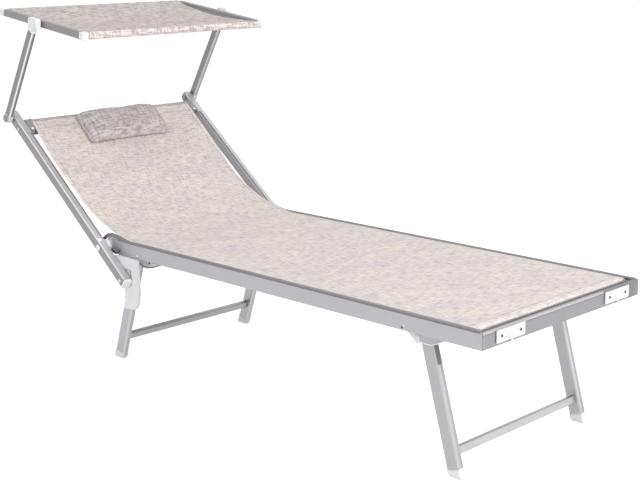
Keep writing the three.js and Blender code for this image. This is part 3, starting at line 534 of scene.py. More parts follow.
dark_steel = drawn_metal("dark_screw_steel", (0.13, 0.125, 0.13), 0.4, ALONG_Y, 0.9)
hook_section = [(-0.0045, -0.0004), (-0.0030, 0.0016), (0.0030, 0.0016), (0.0045, -0.0004)]
hook_path = [(-0.009, 0.3572, 0.7, 0.4), (-0.008, 0.3555, 1.0, 1.0), (-0.004, 0.3500, 1.0, 1.1),
             (0.000, 0.3440, 1.0, 1.1), (0.003, 0.3385, 0.9, 1.0), (0.004, 0.3345, 0.7, 0.8),
             (0.004, 0.3325, 0.4, 0.4)]
for suffix, side in SIDES:
    centre = side * PLATE_MIDDLE
    for i, y in enumerate((centre - SCREW_OUT, centre + SCREW_OUT)):
        screw = turned(screw_rings(0.0036, 0.0022), (PLATE_FACE - SUNK, y, SCREW_Z), (1, 0, 0))
        fitted(screw, f"plate_screw_{suffix}_{i + 1}", dark_steel, "seat_frame")
    hook = swept(hook_section, [station((PLATE_FACE - SUNK, centre + y, z), ACROSS, (1, 0, 0), width, height)
                                for y, z, width, height in hook_path])
    fitted(hook, f"plate_hook_{suffix}", pale_plastic, "seat_frame")

# Rivets and pivot plugs: small domed rivets set through the seat rails' outer sides into the leg brackets, one
# dark and two white on each side, and white plastic plugs pushed into the ends of the leg pivots. The small white
# rivet just above and ahead of the dark one is a painted highlight on it.
RAIL_RIVETS = ((0.6509, 0.3395, 0.0030, dark_steel), (0.6573, 0.3456, 0.0024, white_plastic),
               (-0.3083, 0.3425, 0.0026, white_plastic))
RIVET_HEIGHT = 0.0014
RAIL_SIDE, PLUG_SIDE = 0.2998, 0.2742
PIVOT_X = {"front": 0.67445, "rear": -0.38405}
PIVOT_Z = 0.314


def rivet_rings(radius):
    return [(radius, 0.0), (radius, 0.35 * RIVET_HEIGHT), (0.86 * radius, 0.72 * RIVET_HEIGHT),
            (0.55 * radius, 0.94 * RIVET_HEIGHT), (0.18 * radius, RIVET_HEIGHT)]


plug_rings = [(0.0078, 0.0), (0.0078, 0.0008), (0.0070, 0.0018), (0.0040, 0.0022), (0.0008, 0.0022)]
for suffix, side in SIDES:
    for i, (x, z, size, look) in enumerate(RAIL_RIVETS):
        rivet = turned(rivet_rings(size), (x, side * RAIL_SIDE, z), (0, side, 0))
        fitted(rivet, f"rail_rivet_{suffix}_{i + 1}", look, "seat_frame")
    for name, x in PIVOT_X.items():
        plug = turned(plug_rings, (x, side * PLUG_SIDE, PIVOT_Z), (0, side, 0))
        fitted(plug, f"{name}_pivot_plug_{suffix}", white_plastic, "seat_frame")

# Tubes: rounder than the rails, drawn in aluminium with a darker satin finish, their rounded corners and the
# backrest rails' upward faces lighter as painted highlight: backrest rails, canopy arms and bars, legs and
# stretchers. The legs' top tubes, which turn in the brackets, and the rod in the foot hem are zinc-plated steel.
BACK_ANGLE = math.radians(38.7)
TUBE_GREY = (0.325, 0.32, 0.33)
ARM_GREY = (0.265, 0.26, 0.27)


def leaning(degrees):
    return (0.0, math.radians(degrees), 0.0)


steel = drawn_metal("zinc_steel", (0.36, 0.36, 0.37), 0.35, ALONG_Y, 1.0)
back_metal = drawn_metal("satin_back_tube", TUBE_GREY, 0.38, (0.0, -BACK_ANGLE, 0.0), 0.35, corner=0.7, top=0.5)
arm_metal = drawn_metal("satin_arm_tube", ARM_GREY, 0.34, leaning(58.8), 0.6, corner=1.0)
bar_metal = drawn_metal("dark_canopy_bar", (0.30, 0.29, 0.30), 0.40, ALONG_X)
leg_metal = {
    "front": drawn_metal("satin_front_leg", (0.40, 0.395, 0.41), 0.38, leaning(-74.4), corner=0.3),
    "rear": drawn_metal("satin_rear_leg", RAIL_GREY, 0.36, leaning(71), corner=0.4)}
bright_metal = drawn_metal("satin_front_stretcher", (0.52, 0.51, 0.525), 0.40, ALONG_Y)
rear_bar_metal = drawn_metal("satin_rear_stretcher", (0.42, 0.415, 0.425), 0.40, ALONG_Y)
for suffix, side in SIDES:
    finished(f"backrest_rail_{suffix}", f"drawn_backrest_rail_{suffix}", back_metal)
    finished(f"canopy_arm_{suffix}", f"drawn_canopy_arm_{suffix}", arm_metal)
    finished(f"canopy_side_bar_{suffix}", f"drawn_canopy_side_bar_{suffix}", bar_metal)
    for pair, metal in leg_metal.items():
        finished(f"{pair}_leg_{suffix}", f"drawn_{pair}_leg_{suffix}", metal)
    finished(f"hinge_bolt_{suffix}", f"turned_hinge_bolt_{suffix}", white_plastic)
for node in ("backrest_top_bar", "canopy_head_bar", "canopy_foot_bar"):
    finished(node, f"drawn_{node}", cross_metal)
finished("front_leg_stretcher", "drawn_front_leg_stretcher", bright_metal)
finished("rear_leg_stretcher", "drawn_rear_leg_stretcher", rear_bar_metal)
for node in ("front_leg_top_tube", "rear_leg_top_tube", "foot_hem_rod"):
    finished(node, f"steel_{node}", steel)

# Skirts: pressed wings of the leg brackets, of satin metal, that show below the seat rails in front of the leg
# pivots. Each has a rolled lower edge, white in front and dark behind, and a black stud holds each rear one.
# The rear skirts' metal is much paler than the front ones', painted light against the shade under the rail.
TO_HEAD = Vector((-1, 0, 0))
SKIRT_LAYERS = (0.2700, 0.2750, 0.2756)
SKIRT_EDGE_Y = 0.2752
STUD_X, STUD_Y, STUD_Z = -0.2872, 0.2755, 0.3225
SKIRTS = {
    "front": ([(0.664, 0.334), (0.671, 0.319), (0.682, 0.3100), (0.699, 0.3065), (0.716, 0.3072),
               (0.733, 0.3140), (0.748, 0.3220), (0.764, 0.3300), (0.770, 0.334)],
              drawn_metal("satin_skirt", (0.47, 0.465, 0.48), 0.45, ALONG_X, 0.5), white_plastic, "white_plastic"),
    "rear": ([(-0.345, 0.334), (-0.331, 0.3140), (-0.316, 0.3080), (-0.298, 0.3070), (-0.275, 0.3115),
              (-0.252, 0.3190), (-0.228, 0.3280), (-0.212, 0.334)],
             drawn_metal("rear_skirt_painted_light", (0.78, 0.77, 0.79), 0.5, ALONG_X, 0.3), dark_steel, "zinc_steel")}
for suffix, side in SIDES:
    for name, (outline, metal, edge_look, edge_slot) in SKIRTS.items():
        skirt = swept([(-x, z) for x, z in outline],
                      [station((0, side * y, 0), TO_HEAD, UP) for y in SKIRT_LAYERS])
        fitted(skirt, f"{name}_skirt_{suffix}", metal, "seat_frame", 30)
        if name == "rear":
            stud = turned(rivet_rings(0.0034), (STUD_X, side * STUD_Y, STUD_Z), (0, side, 0))
            fitted(stud, f"rear_skirt_stud_{suffix}", black_plastic, "seat_frame")
        edge = swept(box_section(0.0014, -0.0015, 0.0015),
                     [station((x, side * SKIRT_EDGE_Y, z), ACROSS, UP) for x, z in outline[1:-1]])
        fitted(edge, f"{name}_skirt_edge_{suffix}", edge_look, "seat_frame", 40)

# Painted shadow on the front legs: thin curved strips of dark plastic, shaped to the rounded fronts of the front
# legs and bonded on just below the skirts, where the skirts cast their shadow.
LEG_DOWN, LEG_FRONT = Vector((0.2698, 0, -0.9629)), Vector((0.9629, 0, 0.2698))
LEG_Y = 0.238
LEG_SHADOW_PLACES = (0.012, 0.040, 0.068)
leg_shadow_section = [(-0.0080, 0.0174), (-0.0060, 0.0192), (-0.0030, 0.0202), (0.0030, 0.0202), (0.0060, 0.0192),
               (0.0080, 0.0174), (0.0060, 0.0184), (0.0030, 0.0194), (-0.0030, 0.0194), (-0.0060, 0.0184)]
for suffix, side in SIDES:
    pivot = Vector((PIVOT_X["front"], side * LEG_Y, PIVOT_Z))
    pad = swept(leg_shadow_section, [station(pivot + LEG_DOWN * along, ACROSS, LEG_FRONT) for along in LEG_SHADOW_PLACES])
    fitted(pad, f"leg_painted_shadow_{suffix}", painted_shade_dark, "front_legs", 50)

# Hinge dressing: a white boss over each hinge bush, a dark arc on the rail's head cap under it, painted shadow of
# the bush, and on the rack its back wall and the dark marks in its notch, painted shadow.
BOSS_X, BOSS_Y, BOSS_Z = -0.4365, 0.3003, 0.3602
SHADOW_ARC_Y, NOTCH_SHADOW_Y = 0.3002, 0.3080
WALL_LAYERS = (0.3050, 0.3078)
boss_rings = [(0.0095, 0.0), (0.0095, 0.0070), (0.0086, 0.0096), (0.0060, 0.0106), (0.0015, 0.0108)]
shadow_arc_path = [(-0.4300, 0.3520), (-0.4250, 0.3450), (-0.4186, 0.3385), (-0.4100, 0.3358), (-0.4020, 0.3356),
             (-0.3940, 0.3385), (-0.3880, 0.3430), (-0.3845, 0.3500)]
shadow_arc_widths = (0.8, 1.6, 2.1, 2.0, 1.2, 0.9, 1.1, 0.5)
wall_section = [(0.3600, 0.3010), (0.3240, 0.3065), (0.3240, 0.2740), (0.3480, 0.2740)]
notch_shadow_path = [(-0.3569, 0.2990), (-0.3440, 0.3012), (-0.3318, 0.3030), (-0.3308, 0.2915), (-0.3296, 0.2795)]


def turns_of(path):
    turns = []
    for i in range(len(path)):
        before, after = path[max(i - 1, 0)], path[min(i + 1, len(path) - 1)]
        span = math.dist(before, after)
        turns.append(((after[0] - before[0]) / span, (after[1] - before[1]) / span))
    return turns


# Stations of a thin line on an upright face, along a path of (x, z).
def face_run(path, y, side, widths):
    return [station((x, side * y, z), (-turn[1], 0, turn[0]), (0, side, 0), width)
            for (x, z), turn, width in zip(path, turns_of(path), widths)]


for suffix, side in SIDES:
    boss = turned(boss_rings, (BOSS_X, side * BOSS_Y, BOSS_Z), (0, side, 0))
    fitted(boss, f"hinge_boss_{suffix}", white_plastic, "seat_frame")
    # A black arc under the bush: painted shadow.
    slot = swept(box_section(0.0017, -0.0004, 0.0004), face_run(shadow_arc_path, SHADOW_ARC_Y, side, shadow_arc_widths))
    fitted(slot, f"head_cap_shadow_arc_{suffix}", black_plastic, "seat_frame")
    wall = swept(wall_section, [station((0, side * y, 0), TO_HEAD, UP) for y in WALL_LAYERS])
    fitted(wall, f"rack_back_wall_{suffix}", white_plastic, "seat_frame", 30)
    # Dark lines in the rack's notch: painted shadow.
    mark = swept(box_section(0.0011, -0.0003, 0.0003), face_run(notch_shadow_path, NOTCH_SHADOW_Y, side, [1.0] * len(notch_shadow_path)))
    fitted(mark, f"rack_notch_shadow_{suffix}", painted_shade_dark, "seat_frame")

# Backrest's small fittings: pop rivets that hold the top caps and plugs, screws in the bar brackets, the rails'
# closed ends, a white clip on each rail where it passes the hinge, and a dark line along its top's inner edge,
# painted shade of that edge. The upper white rivet by the top cap is a painted highlight.
HINGE_X, HINGE_Z = -0.43655, 0.35175
UP_BACK = Vector((math.sin(BACK_ANGLE), 0, math.cos(BACK_ANGLE)))
DOWN_BACK = Vector((math.cos(BACK_ANGLE), 0, -math.sin(BACK_ANGLE)))
BACK_RIVETS = ((-0.4758, -0.0020, 0.0040), (0.1205, -0.0040, 0.0050))
RIVET_Y, RAIL_MIDDLE, RAIL_TOP = 0.3362, 0.3244, 0.0142
BACK_SHADE_LINE_Y, BACK_SHADE_LINE_UP = 0.3174, 0.0100
BACK_SHADE_LINE_PLACES = (-0.4440, -0.3400, -0.2400, -0.1400, -0.0260)
end_section = [(-0.012, -0.009), (-0.012, 0.009), (-0.006, 0.015), (0.006, 0.015), (0.012, 0.009), (0.012, -0.009),
               (0.006, -0.015), (-0.006, -0.015)]
end_steps = ((-0.5270, 0.995), (-0.5330, 0.98), (-0.5375, 0.88), (-0.5400, 0.65))
pin_rings = [(0.0022, 0.0), (0.0022, 0.0004), (0.0010, 0.0004)]
knob_rings = [(0.0040, 0.0), (0.0040, 0.0030), (0.0026, 0.0040)]
clip_rings = [(0.0060, 0.0), (0.0060, 0.0022), (0.0046, 0.0032), (0.0020, 0.0034)]
band = [(-0.0032, 0.0039), (-0.0017, 0.0047), (0.0, 0.0050), (0.0024, 0.0050),
        (0.0024, 0.0054), (0.0, 0.0054), (-0.0018, 0.0051), (-0.0035, 0.0042)]


def on_back(along, across, up):
    return Vector((HINGE_X, across, HINGE_Z)) + DOWN_BACK * along + UP_BACK * up


for suffix, side in SIDES:
    outward = (0, side, 0)
    # The first, upper white rivet is a painted highlight by the black pin.
    for i, (along, up, size) in enumerate(BACK_RIVETS):
        rivet = turned(rivet_rings(size), on_back(along, side * RIVET_Y, up), outward)
        fitted(rivet, f"back_rivet_{suffix}_{i + 1}", white_plastic, "backrest")
    knob = turned(knob_rings, on_back(-0.4955, side * 0.2896, 0.0085), UP_BACK)
    fitted(knob, f"bar_end_{suffix}", black_plastic, "backrest")
    end = swept(end_section, [station(on_back(along, side * RAIL_MIDDLE, 0.0), ACROSS, UP_BACK, size, size)
                              for along, size in end_steps])
    fitted(end, f"back_rail_end_{suffix}", back_metal, "backrest", 50)
    pin = turned(pin_rings, on_back(-0.4677, side * 0.3363, 0.0039), outward)
    fitted(pin, f"back_pin_{suffix}", black_plastic, "backrest")
    screw = turned(screw_rings(0.0042, 0.0020), on_back(-0.4576, side * 0.3040, RAIL_TOP), UP_BACK)
    fitted(screw, f"bracket_screw_{suffix}", white_plastic, "backrest")
    clip = turned(clip_rings, on_back(-0.0140, side * 0.3290, RAIL_TOP), UP_BACK)
    fitted(clip, f"back_clip_{suffix}", white_plastic, "backrest")
    groove = swept(band, [station(on_back(along, side * BACK_SHADE_LINE_Y, BACK_SHADE_LINE_UP), outward, UP_BACK)
                          for along in BACK_SHADE_LINE_PLACES])
    fitted(groove, f"back_rail_shade_line_{suffix}", painted_shade_dark, "backrest", 50)

# Sling: one length of coated yarn cloth from the rod in the foot rail over the hinge to the top bar,
# where it turns back and is stitched. Its edges are held in the seat rails; on the backrest they are free.
CLOTH = 0.0012
CLOTH_HALF = 0.2910
CLOTH_FULL = 0.0055
BAR_X, BAR_TURN = -0.486, 0.0146
BACK_END, BACK_LIFT, BACK_SAG = -0.1997, 0.0013, 0.0031
BEND_X, BEND_Z, BEND_RADIUS = -0.29255, 0.8508, 0.4782
SEAT_CLOTH = BEND_Z - BEND_RADIUS
ROD_X, ROD_Z, ROD_TURN = 0.83775, 0.3645, 0.0081
HEM, HEM_START, HEM_RISE = 0.030, 0.004, 0.0022
FOOT_HEM, FOOT_SEAM = 0.025, 0.016
HEM_EDGE = 0.009
# Rows of the cloth round the top bar, down the back, round the bend, along the seat and round the rod; at
# BAR_ROW the cloth leaves the top bar.
BAR_STEPS, BACK_STEPS, BEND_STEPS, SEAT_STEPS, ROD_STEPS = 14, 42, 34, 100, 12
BAR_ROW = 1 + BAR_STEPS
LEVEL_FROM, LEVEL_TO = -0.79, 0.81
FREE_EDGE_X = -0.36
MIDDLE_U = 0.5


def run(points, start, end, count, sag=0.0):
    for i in range(1, count + 1):
        share = i / count
        points.append((start[0] + (end[0] - start[0]) * share,
                       start[1] + (end[1] - start[1]) * share - 4 * sag * share * (1 - share)))


def arc(points, centre, radius, start, end, count):
    for i in range(1, count + 1):
        turn = math.radians(start + (end - start) * i / count)
        points.append((centre[0] + radius * math.cos(turn), centre[1] + radius * math.sin(turn)))


def lengths_of(points):
    lengths = [0.0]
    for before, after in zip(points, points[1:]):
        lengths.append(lengths[-1] + math.dist(before, after))
    return lengths


# A side view's points, given along and above a line that leans by the angle, in the lounger's own x and z.
def leaned(points, x, z, angle):
    return [(x + a * math.cos(angle) + b * math.sin(angle), z - a * math.sin(angle) + b * math.cos(angle))
            for a, b in points]


def limited(value):
    return min(max(value, 0.0), 1.0)


back_line = [(BAR_X + HEM, -BAR_TURN + HEM_RISE), (BAR_X + HEM_START, -BAR_TURN)]
arc(back_line, (BAR_X, 0.0), BAR_TURN, 270, 90, BAR_STEPS)
run(back_line, (BAR_X, BAR_TURN), (BACK_END, BACK_LIFT), BACK_STEPS, BACK_SAG)
line = leaned(back_line, HINGE_X, HINGE_Z, BACK_ANGLE)
BACK_ROWS = len(line)
arc(line, (BEND_X, BEND_Z), BEND_RADIUS, -90 - math.degrees(BACK_ANGLE), -90, BEND_STEPS)
run(line, line[-1], (ROD_X, SEAT_CLOTH), SEAT_STEPS)
arc(line, (ROD_X, ROD_Z), ROD_TURN, 90, -90, ROD_STEPS)
line.append((ROD_X - FOOT_HEM, ROD_Z - ROD_TURN))
lengths = lengths_of(line)
back_seam = lengths[BAR_ROW] + HEM
foot_seam = lengths[BACK_ROWS + BEND_STEPS + SEAT_STEPS - 1] - FOOT_SEAM


# Places of a cloth's columns of vertices: close together at its hemmed edges, even between them.
def strip_columns(half, count):
    edge = [half, half - 0.0015, half - HEM_EDGE + 0.0015, half - HEM_EDGE]
    return [-y for y in edge] + [(-1 + 2 * i / count) * (half - 0.014) for i in range(count + 1)] + edge[::-1]


# A cloth whose rows lie along the points; its own UV is in metres, across it and along it.
def laid_cloth(name, points, columns, edge_half):
    lengths = lengths_of(points)
    bpy.ops.object.select_all(action="DESELECT")
    bpy.ops.mesh.primitive_grid_add(x_subdivisions=len(columns) - 1, y_subdivisions=len(points) - 1, size=1.0,
                                    calc_uvs=True)
    piece = bpy.context.object
    piece.name = name
    uv = piece.data.uv_layers.active.data
    rows = len(points)
    for vertex in piece.data.vertices:
        row = round((vertex.co.y + 0.5) * (rows - 1))
        column = round((vertex.co.x + 0.5) * (len(columns) - 1))
        x, z = points[row]
        vertex.co = (x, columns[column] * edge_half(row) / columns[-1], z)
    for loop in piece.data.loops:
        point = piece.data.vertices[loop.vertex_index].co
        row = round(uv[loop.index].uv.y * (rows - 1))
        uv[loop.index].uv = (point.y + MIDDLE_U, lengths[row])
    return piece


def sling_half(row):
    share = limited((row - BAR_ROW - 1) / (BACK_STEPS - 4))
    return CLOTH_HALF + CLOTH_FULL * math.sin(math.pi * share)


sling = laid_cloth("sling_cloth", line, strip_columns(CLOTH_HALF, 52), sling_half)
for vertex in sling.data.vertices:
    x, y, z = vertex.co
    if LEVEL_FROM < x < LEVEL_TO:
        wave = noise.noise(Vector((x * 5.0, y * 3.0, 2.7))) * 0.0009
        wave += noise.noise(Vector((x * 14.0, y * 7.0, 8.1))) * 0.0004
        fold = 0.0005 if abs(y) > CLOTH_HALF - HEM_EDGE + 0.001 and x < FREE_EDGE_X else 0.0
        vertex.co.z += wave * limited((CLOTH_HALF - abs(y)) / 0.05) + fold

# The woven cloth's group: thick and thin yarns both ways, patches of a second tint, and the crossings' height.
yarns, given, made = add_group("woven_cloth", [
    ("Vector", "Vector", None),
    ("Light", "Color", (0.8, 0.8, 0.8, 1.0)),
    ("Tint", "Color", (0.7, 0.7, 0.7, 1.0)),
    ("Dark", "Color", (0.5, 0.5, 0.5, 1.0)),
    ("Slub", "Float", 1.0),
    ("Depth", "Float", 0.4),
], [("Colour", "Color"), ("Height", "Float")])
YARN = 0.0016
place = given.outputs["Vector"]
weft = add_noise(yarns, place, (34.0, 230.0, 34.0), 2.0, 0.55)
warp = add_noise(yarns, place, (230.0, 34.0, 230.0), 2.0, 0.55)
patch = add_noise(yarns, place, (7.0, 16.0, 7.0), 3.0, 0.6)
total = add_math(yarns, "ADD", weft, add_math(yarns, "MULTIPLY", warp, 0.8))
total = add_math(yarns, "MULTIPLY_ADD", patch, 0.15, total)
total = add_math(yarns, "MULTIPLY", add_math(yarns, "SUBTRACT", total, 0.975), given.outputs["Slub"])
shade = add_node(yarns, "Clamp", {0: add_math(yarns, "ADD", total, given.outputs["Depth"])})
spread = add_node(yarns, "Clamp", {0: add_math(yarns, "MULTIPLY_ADD", patch, 3.0, -1.0)})
ground = add_blend(yarns, spread.outputs[0], given.outputs["Light"], given.outputs["Tint"])
split = add_node(yarns, "SeparateXYZ", {0: place})
u = add_math(yarns, "SINE", add_math(yarns, "MULTIPLY", split.outputs["X"], math.pi / YARN))
v = add_math(yarns, "SINE", add_math(yarns, "MULTIPLY", split.outputs["Y"], math.pi / YARN))
feed(yarns, made, {"Colour": add_blend(yarns, shade.outputs[0], ground, given.outputs["Dark"]),
                   "Height": add_math(yarns, "MULTIPLY_ADD", weft, 1.6, add_math(yarns, "MULTIPLY", u, v))})

# A row of stitches: a thread mask of dashes and a wider band where the cloth is drawn down beside them, which the
# cloth also darkens as painted shade.
stitches, given, made = add_group("stitch_row", [
    ("Along", "Float", 0.0),
    ("Across", "Float", 0.0),
    ("Pitch", "Float", 0.0045),
], [("Thread", "Float"), ("Pucker_and_shade", "Float")])
STITCH_SHARE = 0.66
THREAD_HALF = 0.0007
beside = add_math(stitches, "ABSOLUTE", given.outputs["Across"])
step = add_math(stitches, "FRACT", add_math(stitches, "DIVIDE", given.outputs["Along"], given.outputs["Pitch"]))
dash = add_math(stitches, "LESS_THAN", step, STITCH_SHARE)
thread = add_math(stitches, "MULTIPLY", dash, add_math(stitches, "LESS_THAN", beside, THREAD_HALF))
fade = add_node(stitches, "MapRange", {"Value": beside, "From Min": 0.0008, "From Max": 0.0034,
                                       "To Min": 1.0, "To Max": 0.0})
feed(stitches, made, {"Thread": thread, "Pucker_and_shade": fade.outputs["Result"]})
CLOTH_ROUGHNESS = 0.85
THREAD_BROWN = (0.62, 0.58, 0.56, 1.0)


# A row is (axis, place, painted shade beside the stitches); a band is (axis, from, to, share of the colour), painted
# shade or highlight.
def woven(name, light, tint, dark, slub, depth, rows=(), bands=(), turn=None):
    material, tree, surface = add_material(name)
    if turn is None:
        place = tree.nodes.new("ShaderNodeUVMap").outputs[0]
    else:
        place = add_mapping(tree, tree.nodes.new("ShaderNodeTexCoord").outputs["Object"], turn)
    weave = add_node(tree, "Group", {
        "Vector": place, "Light": (*light, 1.0), "Tint": (*tint, 1.0), "Dark": (*dark, 1.0),
        "Slub": slub, "Depth": depth}, node_tree=yarns)
    colour, height = weave.outputs["Colour"], weave.outputs["Height"]
    split = add_node(tree, "SeparateXYZ", {0: place})
    for axis, low, high, share in bands:
        inside = add_math(tree, "MULTIPLY", add_math(tree, "GREATER_THAN", split.outputs[axis], low),
                          add_math(tree, "LESS_THAN", split.outputs[axis], high))
        colour = add_shade(tree, colour, add_math(tree, "MULTIPLY_ADD", inside, share - 1.0, 1.0))
    for axis, at, beside in rows:
        stitch = add_node(tree, "Group", {
            "Along": split.outputs["Y" if axis == "X" else "X"],
            "Across": add_math(tree, "SUBTRACT", split.outputs[axis], at)}, node_tree=stitches)
        colour = add_shade(tree, colour, add_math(tree, "MULTIPLY_ADD", stitch.outputs["Pucker_and_shade"], beside - 1.0, 1.0))
        colour = add_blend(tree, stitch.outputs["Thread"], colour, THREAD_BROWN)
        height = add_math(tree, "MULTIPLY_ADD", stitch.outputs["Pucker_and_shade"], -2.0, height)
        height = add_math(tree, "MULTIPLY_ADD", stitch.outputs["Thread"], 2.5, height)
    feed(tree, surface, {"Base Color": colour, "Roughness": CLOTH_ROUGHNESS})
    add_bump(tree, surface, height, 0.4, 0.0003)
    return material


def finish_cloth(piece, material):
    dress(piece, material)
    solid = piece.modifiers.new("thickness", "SOLIDIFY")
    solid.thickness = CLOTH
    solid.offset = 0.0
    solid.use_quality_normals = True
    apply_modifiers(piece)
    bpy.ops.object.shade_smooth_by_angle(angle=math.radians(50))


CREAM = (0.870, 0.805, 0.735)
LILAC = (0.800, 0.735, 0.750)
BEIGE = (0.560, 0.500, 0.475)
SIDE_HEM = CLOTH_HALF - HEM_EDGE
# Rows darken the cloth beside their stitches, painted shade. Bands: round the top bar darker, painted shade; the foot
# hem and side hems lighter, painted highlight.
sling_rows = [("Y", back_seam, 0.86), ("Y", foot_seam, 0.80),
              ("X", MIDDLE_U - SIDE_HEM, 0.84), ("X", MIDDLE_U + SIDE_HEM, 0.84)]
sling_bands = [("Y", -1.0, lengths[BAR_ROW] + 0.004, 0.70), ("Y", foot_seam, lengths[-1], 1.07),
               ("X", -1.0, MIDDLE_U - SIDE_HEM, 1.08), ("X", MIDDLE_U + SIDE_HEM, 2.0, 1.08)]
finish_cloth(sling, woven("sling_weave", CREAM, LILAC, BEIGE, 3.0, 0.28, sling_rows, sling_bands))
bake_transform(sling)
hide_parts("seat_sling", "sling_bend", "backrest_sling")

# Canopy cloth: a panel of the same cloth stretched between the two cross bars, its hems stitched round
# them, its free sides drawn inwards.
CANOPY_X, CANOPY_Z = -0.675966, 0.956433
CANOPY_TILT = math.radians(7.8)
HEAD_REACH, FOOT_REACH = 0.191, 0.2045
HEM_TURN = 0.0094
CANOPY_HALF = 0.310
CANOPY_BOW = 0.010
CANOPY_SAG = 0.013
CANOPY_HEM = 0.025
CANOPY_STRAIGHT = 0.03
CANOPY_SIDE_SEAM = 0.012
# Rows at which the cloth leaves the head bar and meets the foot bar.
HEAD_ROW = 13
FOOT_ROW = HEAD_ROW + 40
CANOPY_CREAM = (0.740, 0.675, 0.630)
CANOPY_LILAC = (0.690, 0.625, 0.640)
CANOPY_BEIGE = (0.420, 0.370, 0.350)
flat_line = [(-HEAD_REACH + CANOPY_HEM, -HEM_TURN)]
arc(flat_line, (-HEAD_REACH, 0.0), HEM_TURN, 270, 90, HEAD_ROW)
run(flat_line, (-HEAD_REACH, HEM_TURN), (FOOT_REACH, HEM_TURN), FOOT_ROW - HEAD_ROW, CANOPY_SAG)
arc(flat_line, (FOOT_REACH, 0.0), HEM_TURN, 90, -90, 12)
flat_line.append((FOOT_REACH - CANOPY_HEM, -HEM_TURN))
canopy_line = leaned(flat_line, CANOPY_X, CANOPY_Z, CANOPY_TILT)
canopy_lengths = lengths_of(canopy_line)


def canopy_half(row):
    share = limited((flat_line[row][0] + HEAD_REACH - CANOPY_STRAIGHT)
                    / (HEAD_REACH + FOOT_REACH - 2 * CANOPY_STRAIGHT))
    return CANOPY_HALF - CANOPY_BOW * 4 * share * (1 - share)


canopy_cloth = laid_cloth("canopy_cloth", canopy_line, strip_columns(CANOPY_HALF, 56), canopy_half)
for vertex in canopy_cloth.data.vertices:
    x, y, z = vertex.co
    along = (x - CANOPY_X) * math.cos(CANOPY_TILT)
    inward = limited(min(along + HEAD_REACH, FOOT_REACH - along) / 0.04)
    vertex.co.z += inward * noise.noise(Vector((x * 9.0, y * 5.0, 4.4))) * 0.0012
# Rows darken the cloth beside their stitches, painted shade; the band makes the bulging front hem lighter, a painted
# highlight.
canopy_rows = [("Y", canopy_lengths[HEAD_ROW] + CANOPY_HEM, 0.88), ("Y", canopy_lengths[FOOT_ROW] - CANOPY_HEM, 0.88),
               ("X", MIDDLE_U - CANOPY_HALF + CANOPY_SIDE_SEAM, 0.92),
               ("X", MIDDLE_U + CANOPY_HALF - CANOPY_SIDE_SEAM, 0.92)]
canopy_bands = [("Y", canopy_lengths[FOOT_ROW] - 0.004, canopy_lengths[-1], 1.28)]
finish_cloth(canopy_cloth, woven("canopy_weave", CANOPY_CREAM, CANOPY_LILAC, CANOPY_BEIGE, 7.0, 0.36,
                                 canopy_rows, canopy_bands))
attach(canopy_cloth, "canopy")
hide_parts("canopy_fabric")

# Head pillow: a small pad of the darker cloth filled with fibre, sewn on across the top of the backrest; its
# end seams are corded and run round it a little way in from each end, and a dark cord round its base paints the
# shadow where it meets the sling.
PILLOW_HALF, SEAM_IN = 0.149, 0.024
PILLOW_SCALE = Vector((1.030, 0.995, 1.000))
PILLOW_SHIFT = 0.002
PILLOW_CLEAR, CORD_CLEAR = 0.0004, 0.0006
CORD_HALF = 0.0013
LOOK_UP = 0.06
PUFF, PUFF_FRAMES = 0.006, 20
SHADOW_CORD_DROP = 0.013
pillow = open_copy("head_pillow", "head_pillow_pad")
bpy.ops.object.mode_set(mode="OBJECT")
heart = sum((vertex.co for vertex in pillow.data.vertices), Vector()) / len(pillow.data.vertices)
for vertex in pillow.data.vertices:
    vertex.co = heart + (vertex.co - heart) * PILLOW_SCALE + DOWN_BACK * PILLOW_SHIFT
evened = pillow.modifiers.new("evened", "REMESH")
evened.mode = "VOXEL"
evened.voxel_size = 0.005
apply_modifiers(pillow)
rest = [vertex.co.copy() for vertex in pillow.data.vertices]
filling = pillow.modifiers.new("filling", "CLOTH")
filling.settings.use_pressure = True
filling.settings.uniform_pressure_force = 4.0
filling.settings.effector_weights.gravity = 0.0
filling.point_cache.frame_start = 1
filling.point_cache.frame_end = PUFF_FRAMES
for frame_number in range(1, PUFF_FRAMES + 1):
    scene.frame_set(frame_number)
apply_modifiers(pillow)
scene.frame_set(1)
for vertex, before in zip(pillow.data.vertices, rest):
    moved = vertex.co - before
    if moved.length > PUFF:
        vertex.co = before + moved * (PUFF / moved.length)
for vertex in pillow.data.vertices:
    spot = vertex.co
    swell = noise.noise(Vector((spot.x * 16.0, spot.y * 12.0, spot.z * 16.0))) * 0.0013
    vertex.co = spot + (spot - heart).normalized() * swell
smoothed = pillow.modifiers.new("smoothed", "SUBSURF")
smoothed.levels = 1
smoothed.render_levels = 1
apply_modifiers(pillow)
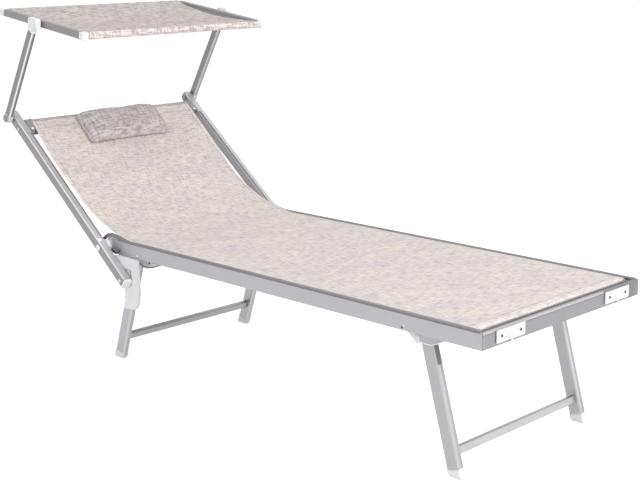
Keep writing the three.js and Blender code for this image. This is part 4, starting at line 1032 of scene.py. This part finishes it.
pillow_shell = BVHTree.FromObject(pillow, bpy.context.evaluated_depsgraph_get())
sling_face = BVHTree.FromObject(sling, bpy.context.evaluated_depsgraph_get())


# A spot that lies lower than the clearance above the sling's cloth is lifted to it.
def above_sling(spot, clearance):
    hit = sling_face.ray_cast(spot + UP_BACK * LOOK_UP, -UP_BACK, 2 * LOOK_UP)[0]
    if hit is None or (spot - hit).dot(UP_BACK) >= clearance:
        return spot
    return hit + UP_BACK * clearance


for vertex in pillow.data.vertices:
    vertex.co = above_sling(vertex.co, PILLOW_CLEAR)
dress(pillow, woven("pillow_weave", (0.76, 0.705, 0.70), (0.69, 0.635, 0.645), (0.37, 0.335, 0.335), 3.0, 0.38,
                    turn=(0.0, -BACK_ANGLE, math.radians(90))))
select_only(pillow)
bpy.ops.object.shade_smooth_by_angle(angle=math.radians(60))
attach(pillow, "backrest")
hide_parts("head_pillow")


# A cord laid round the pillow, on the shell as rays from the centre meet it in the plane of DOWN_BACK and other.
def laid_cord(centre, other, up, count, start):
    stations = []
    for i in range(count + 1):
        turn = math.radians(360 * (i % count) / count + start)
        ray = DOWN_BACK * math.cos(turn) + other * math.sin(turn)
        hit = pillow_shell.ray_cast(centre, ray)[0]
        stations.append(station(above_sling(hit, CORD_CLEAR), ray, up))
    return swept(round_section(CORD_HALF, CORD_HALF, 8), stations)


seam_cord = moulded_plastic("pillow_seam_cord", (0.42, 0.385, 0.38), 0.8)
for suffix, side in SIDES:
    centre = Vector((heart.x, heart.y + side * (PILLOW_HALF - SEAM_IN), heart.z))
    cord = laid_cord(centre, UP_BACK, ACROSS, 64, 2.0)
    fitted(cord, f"pillow_seam_{suffix}", seam_cord, "backrest", 60)
# A near-black cord round the pillow's base: painted shadow where the pillow meets the sling.
contact_shadow_look = moulded_plastic("pillow_contact_shadow", (0.17, 0.15, 0.155), 0.8)
welt = laid_cord(heart - UP_BACK * SHADOW_CORD_DROP, ACROSS, UP_BACK, 96, 1.0)
fitted(welt, "pillow_base_shadow_cord", contact_shadow_look, "backrest", 60)
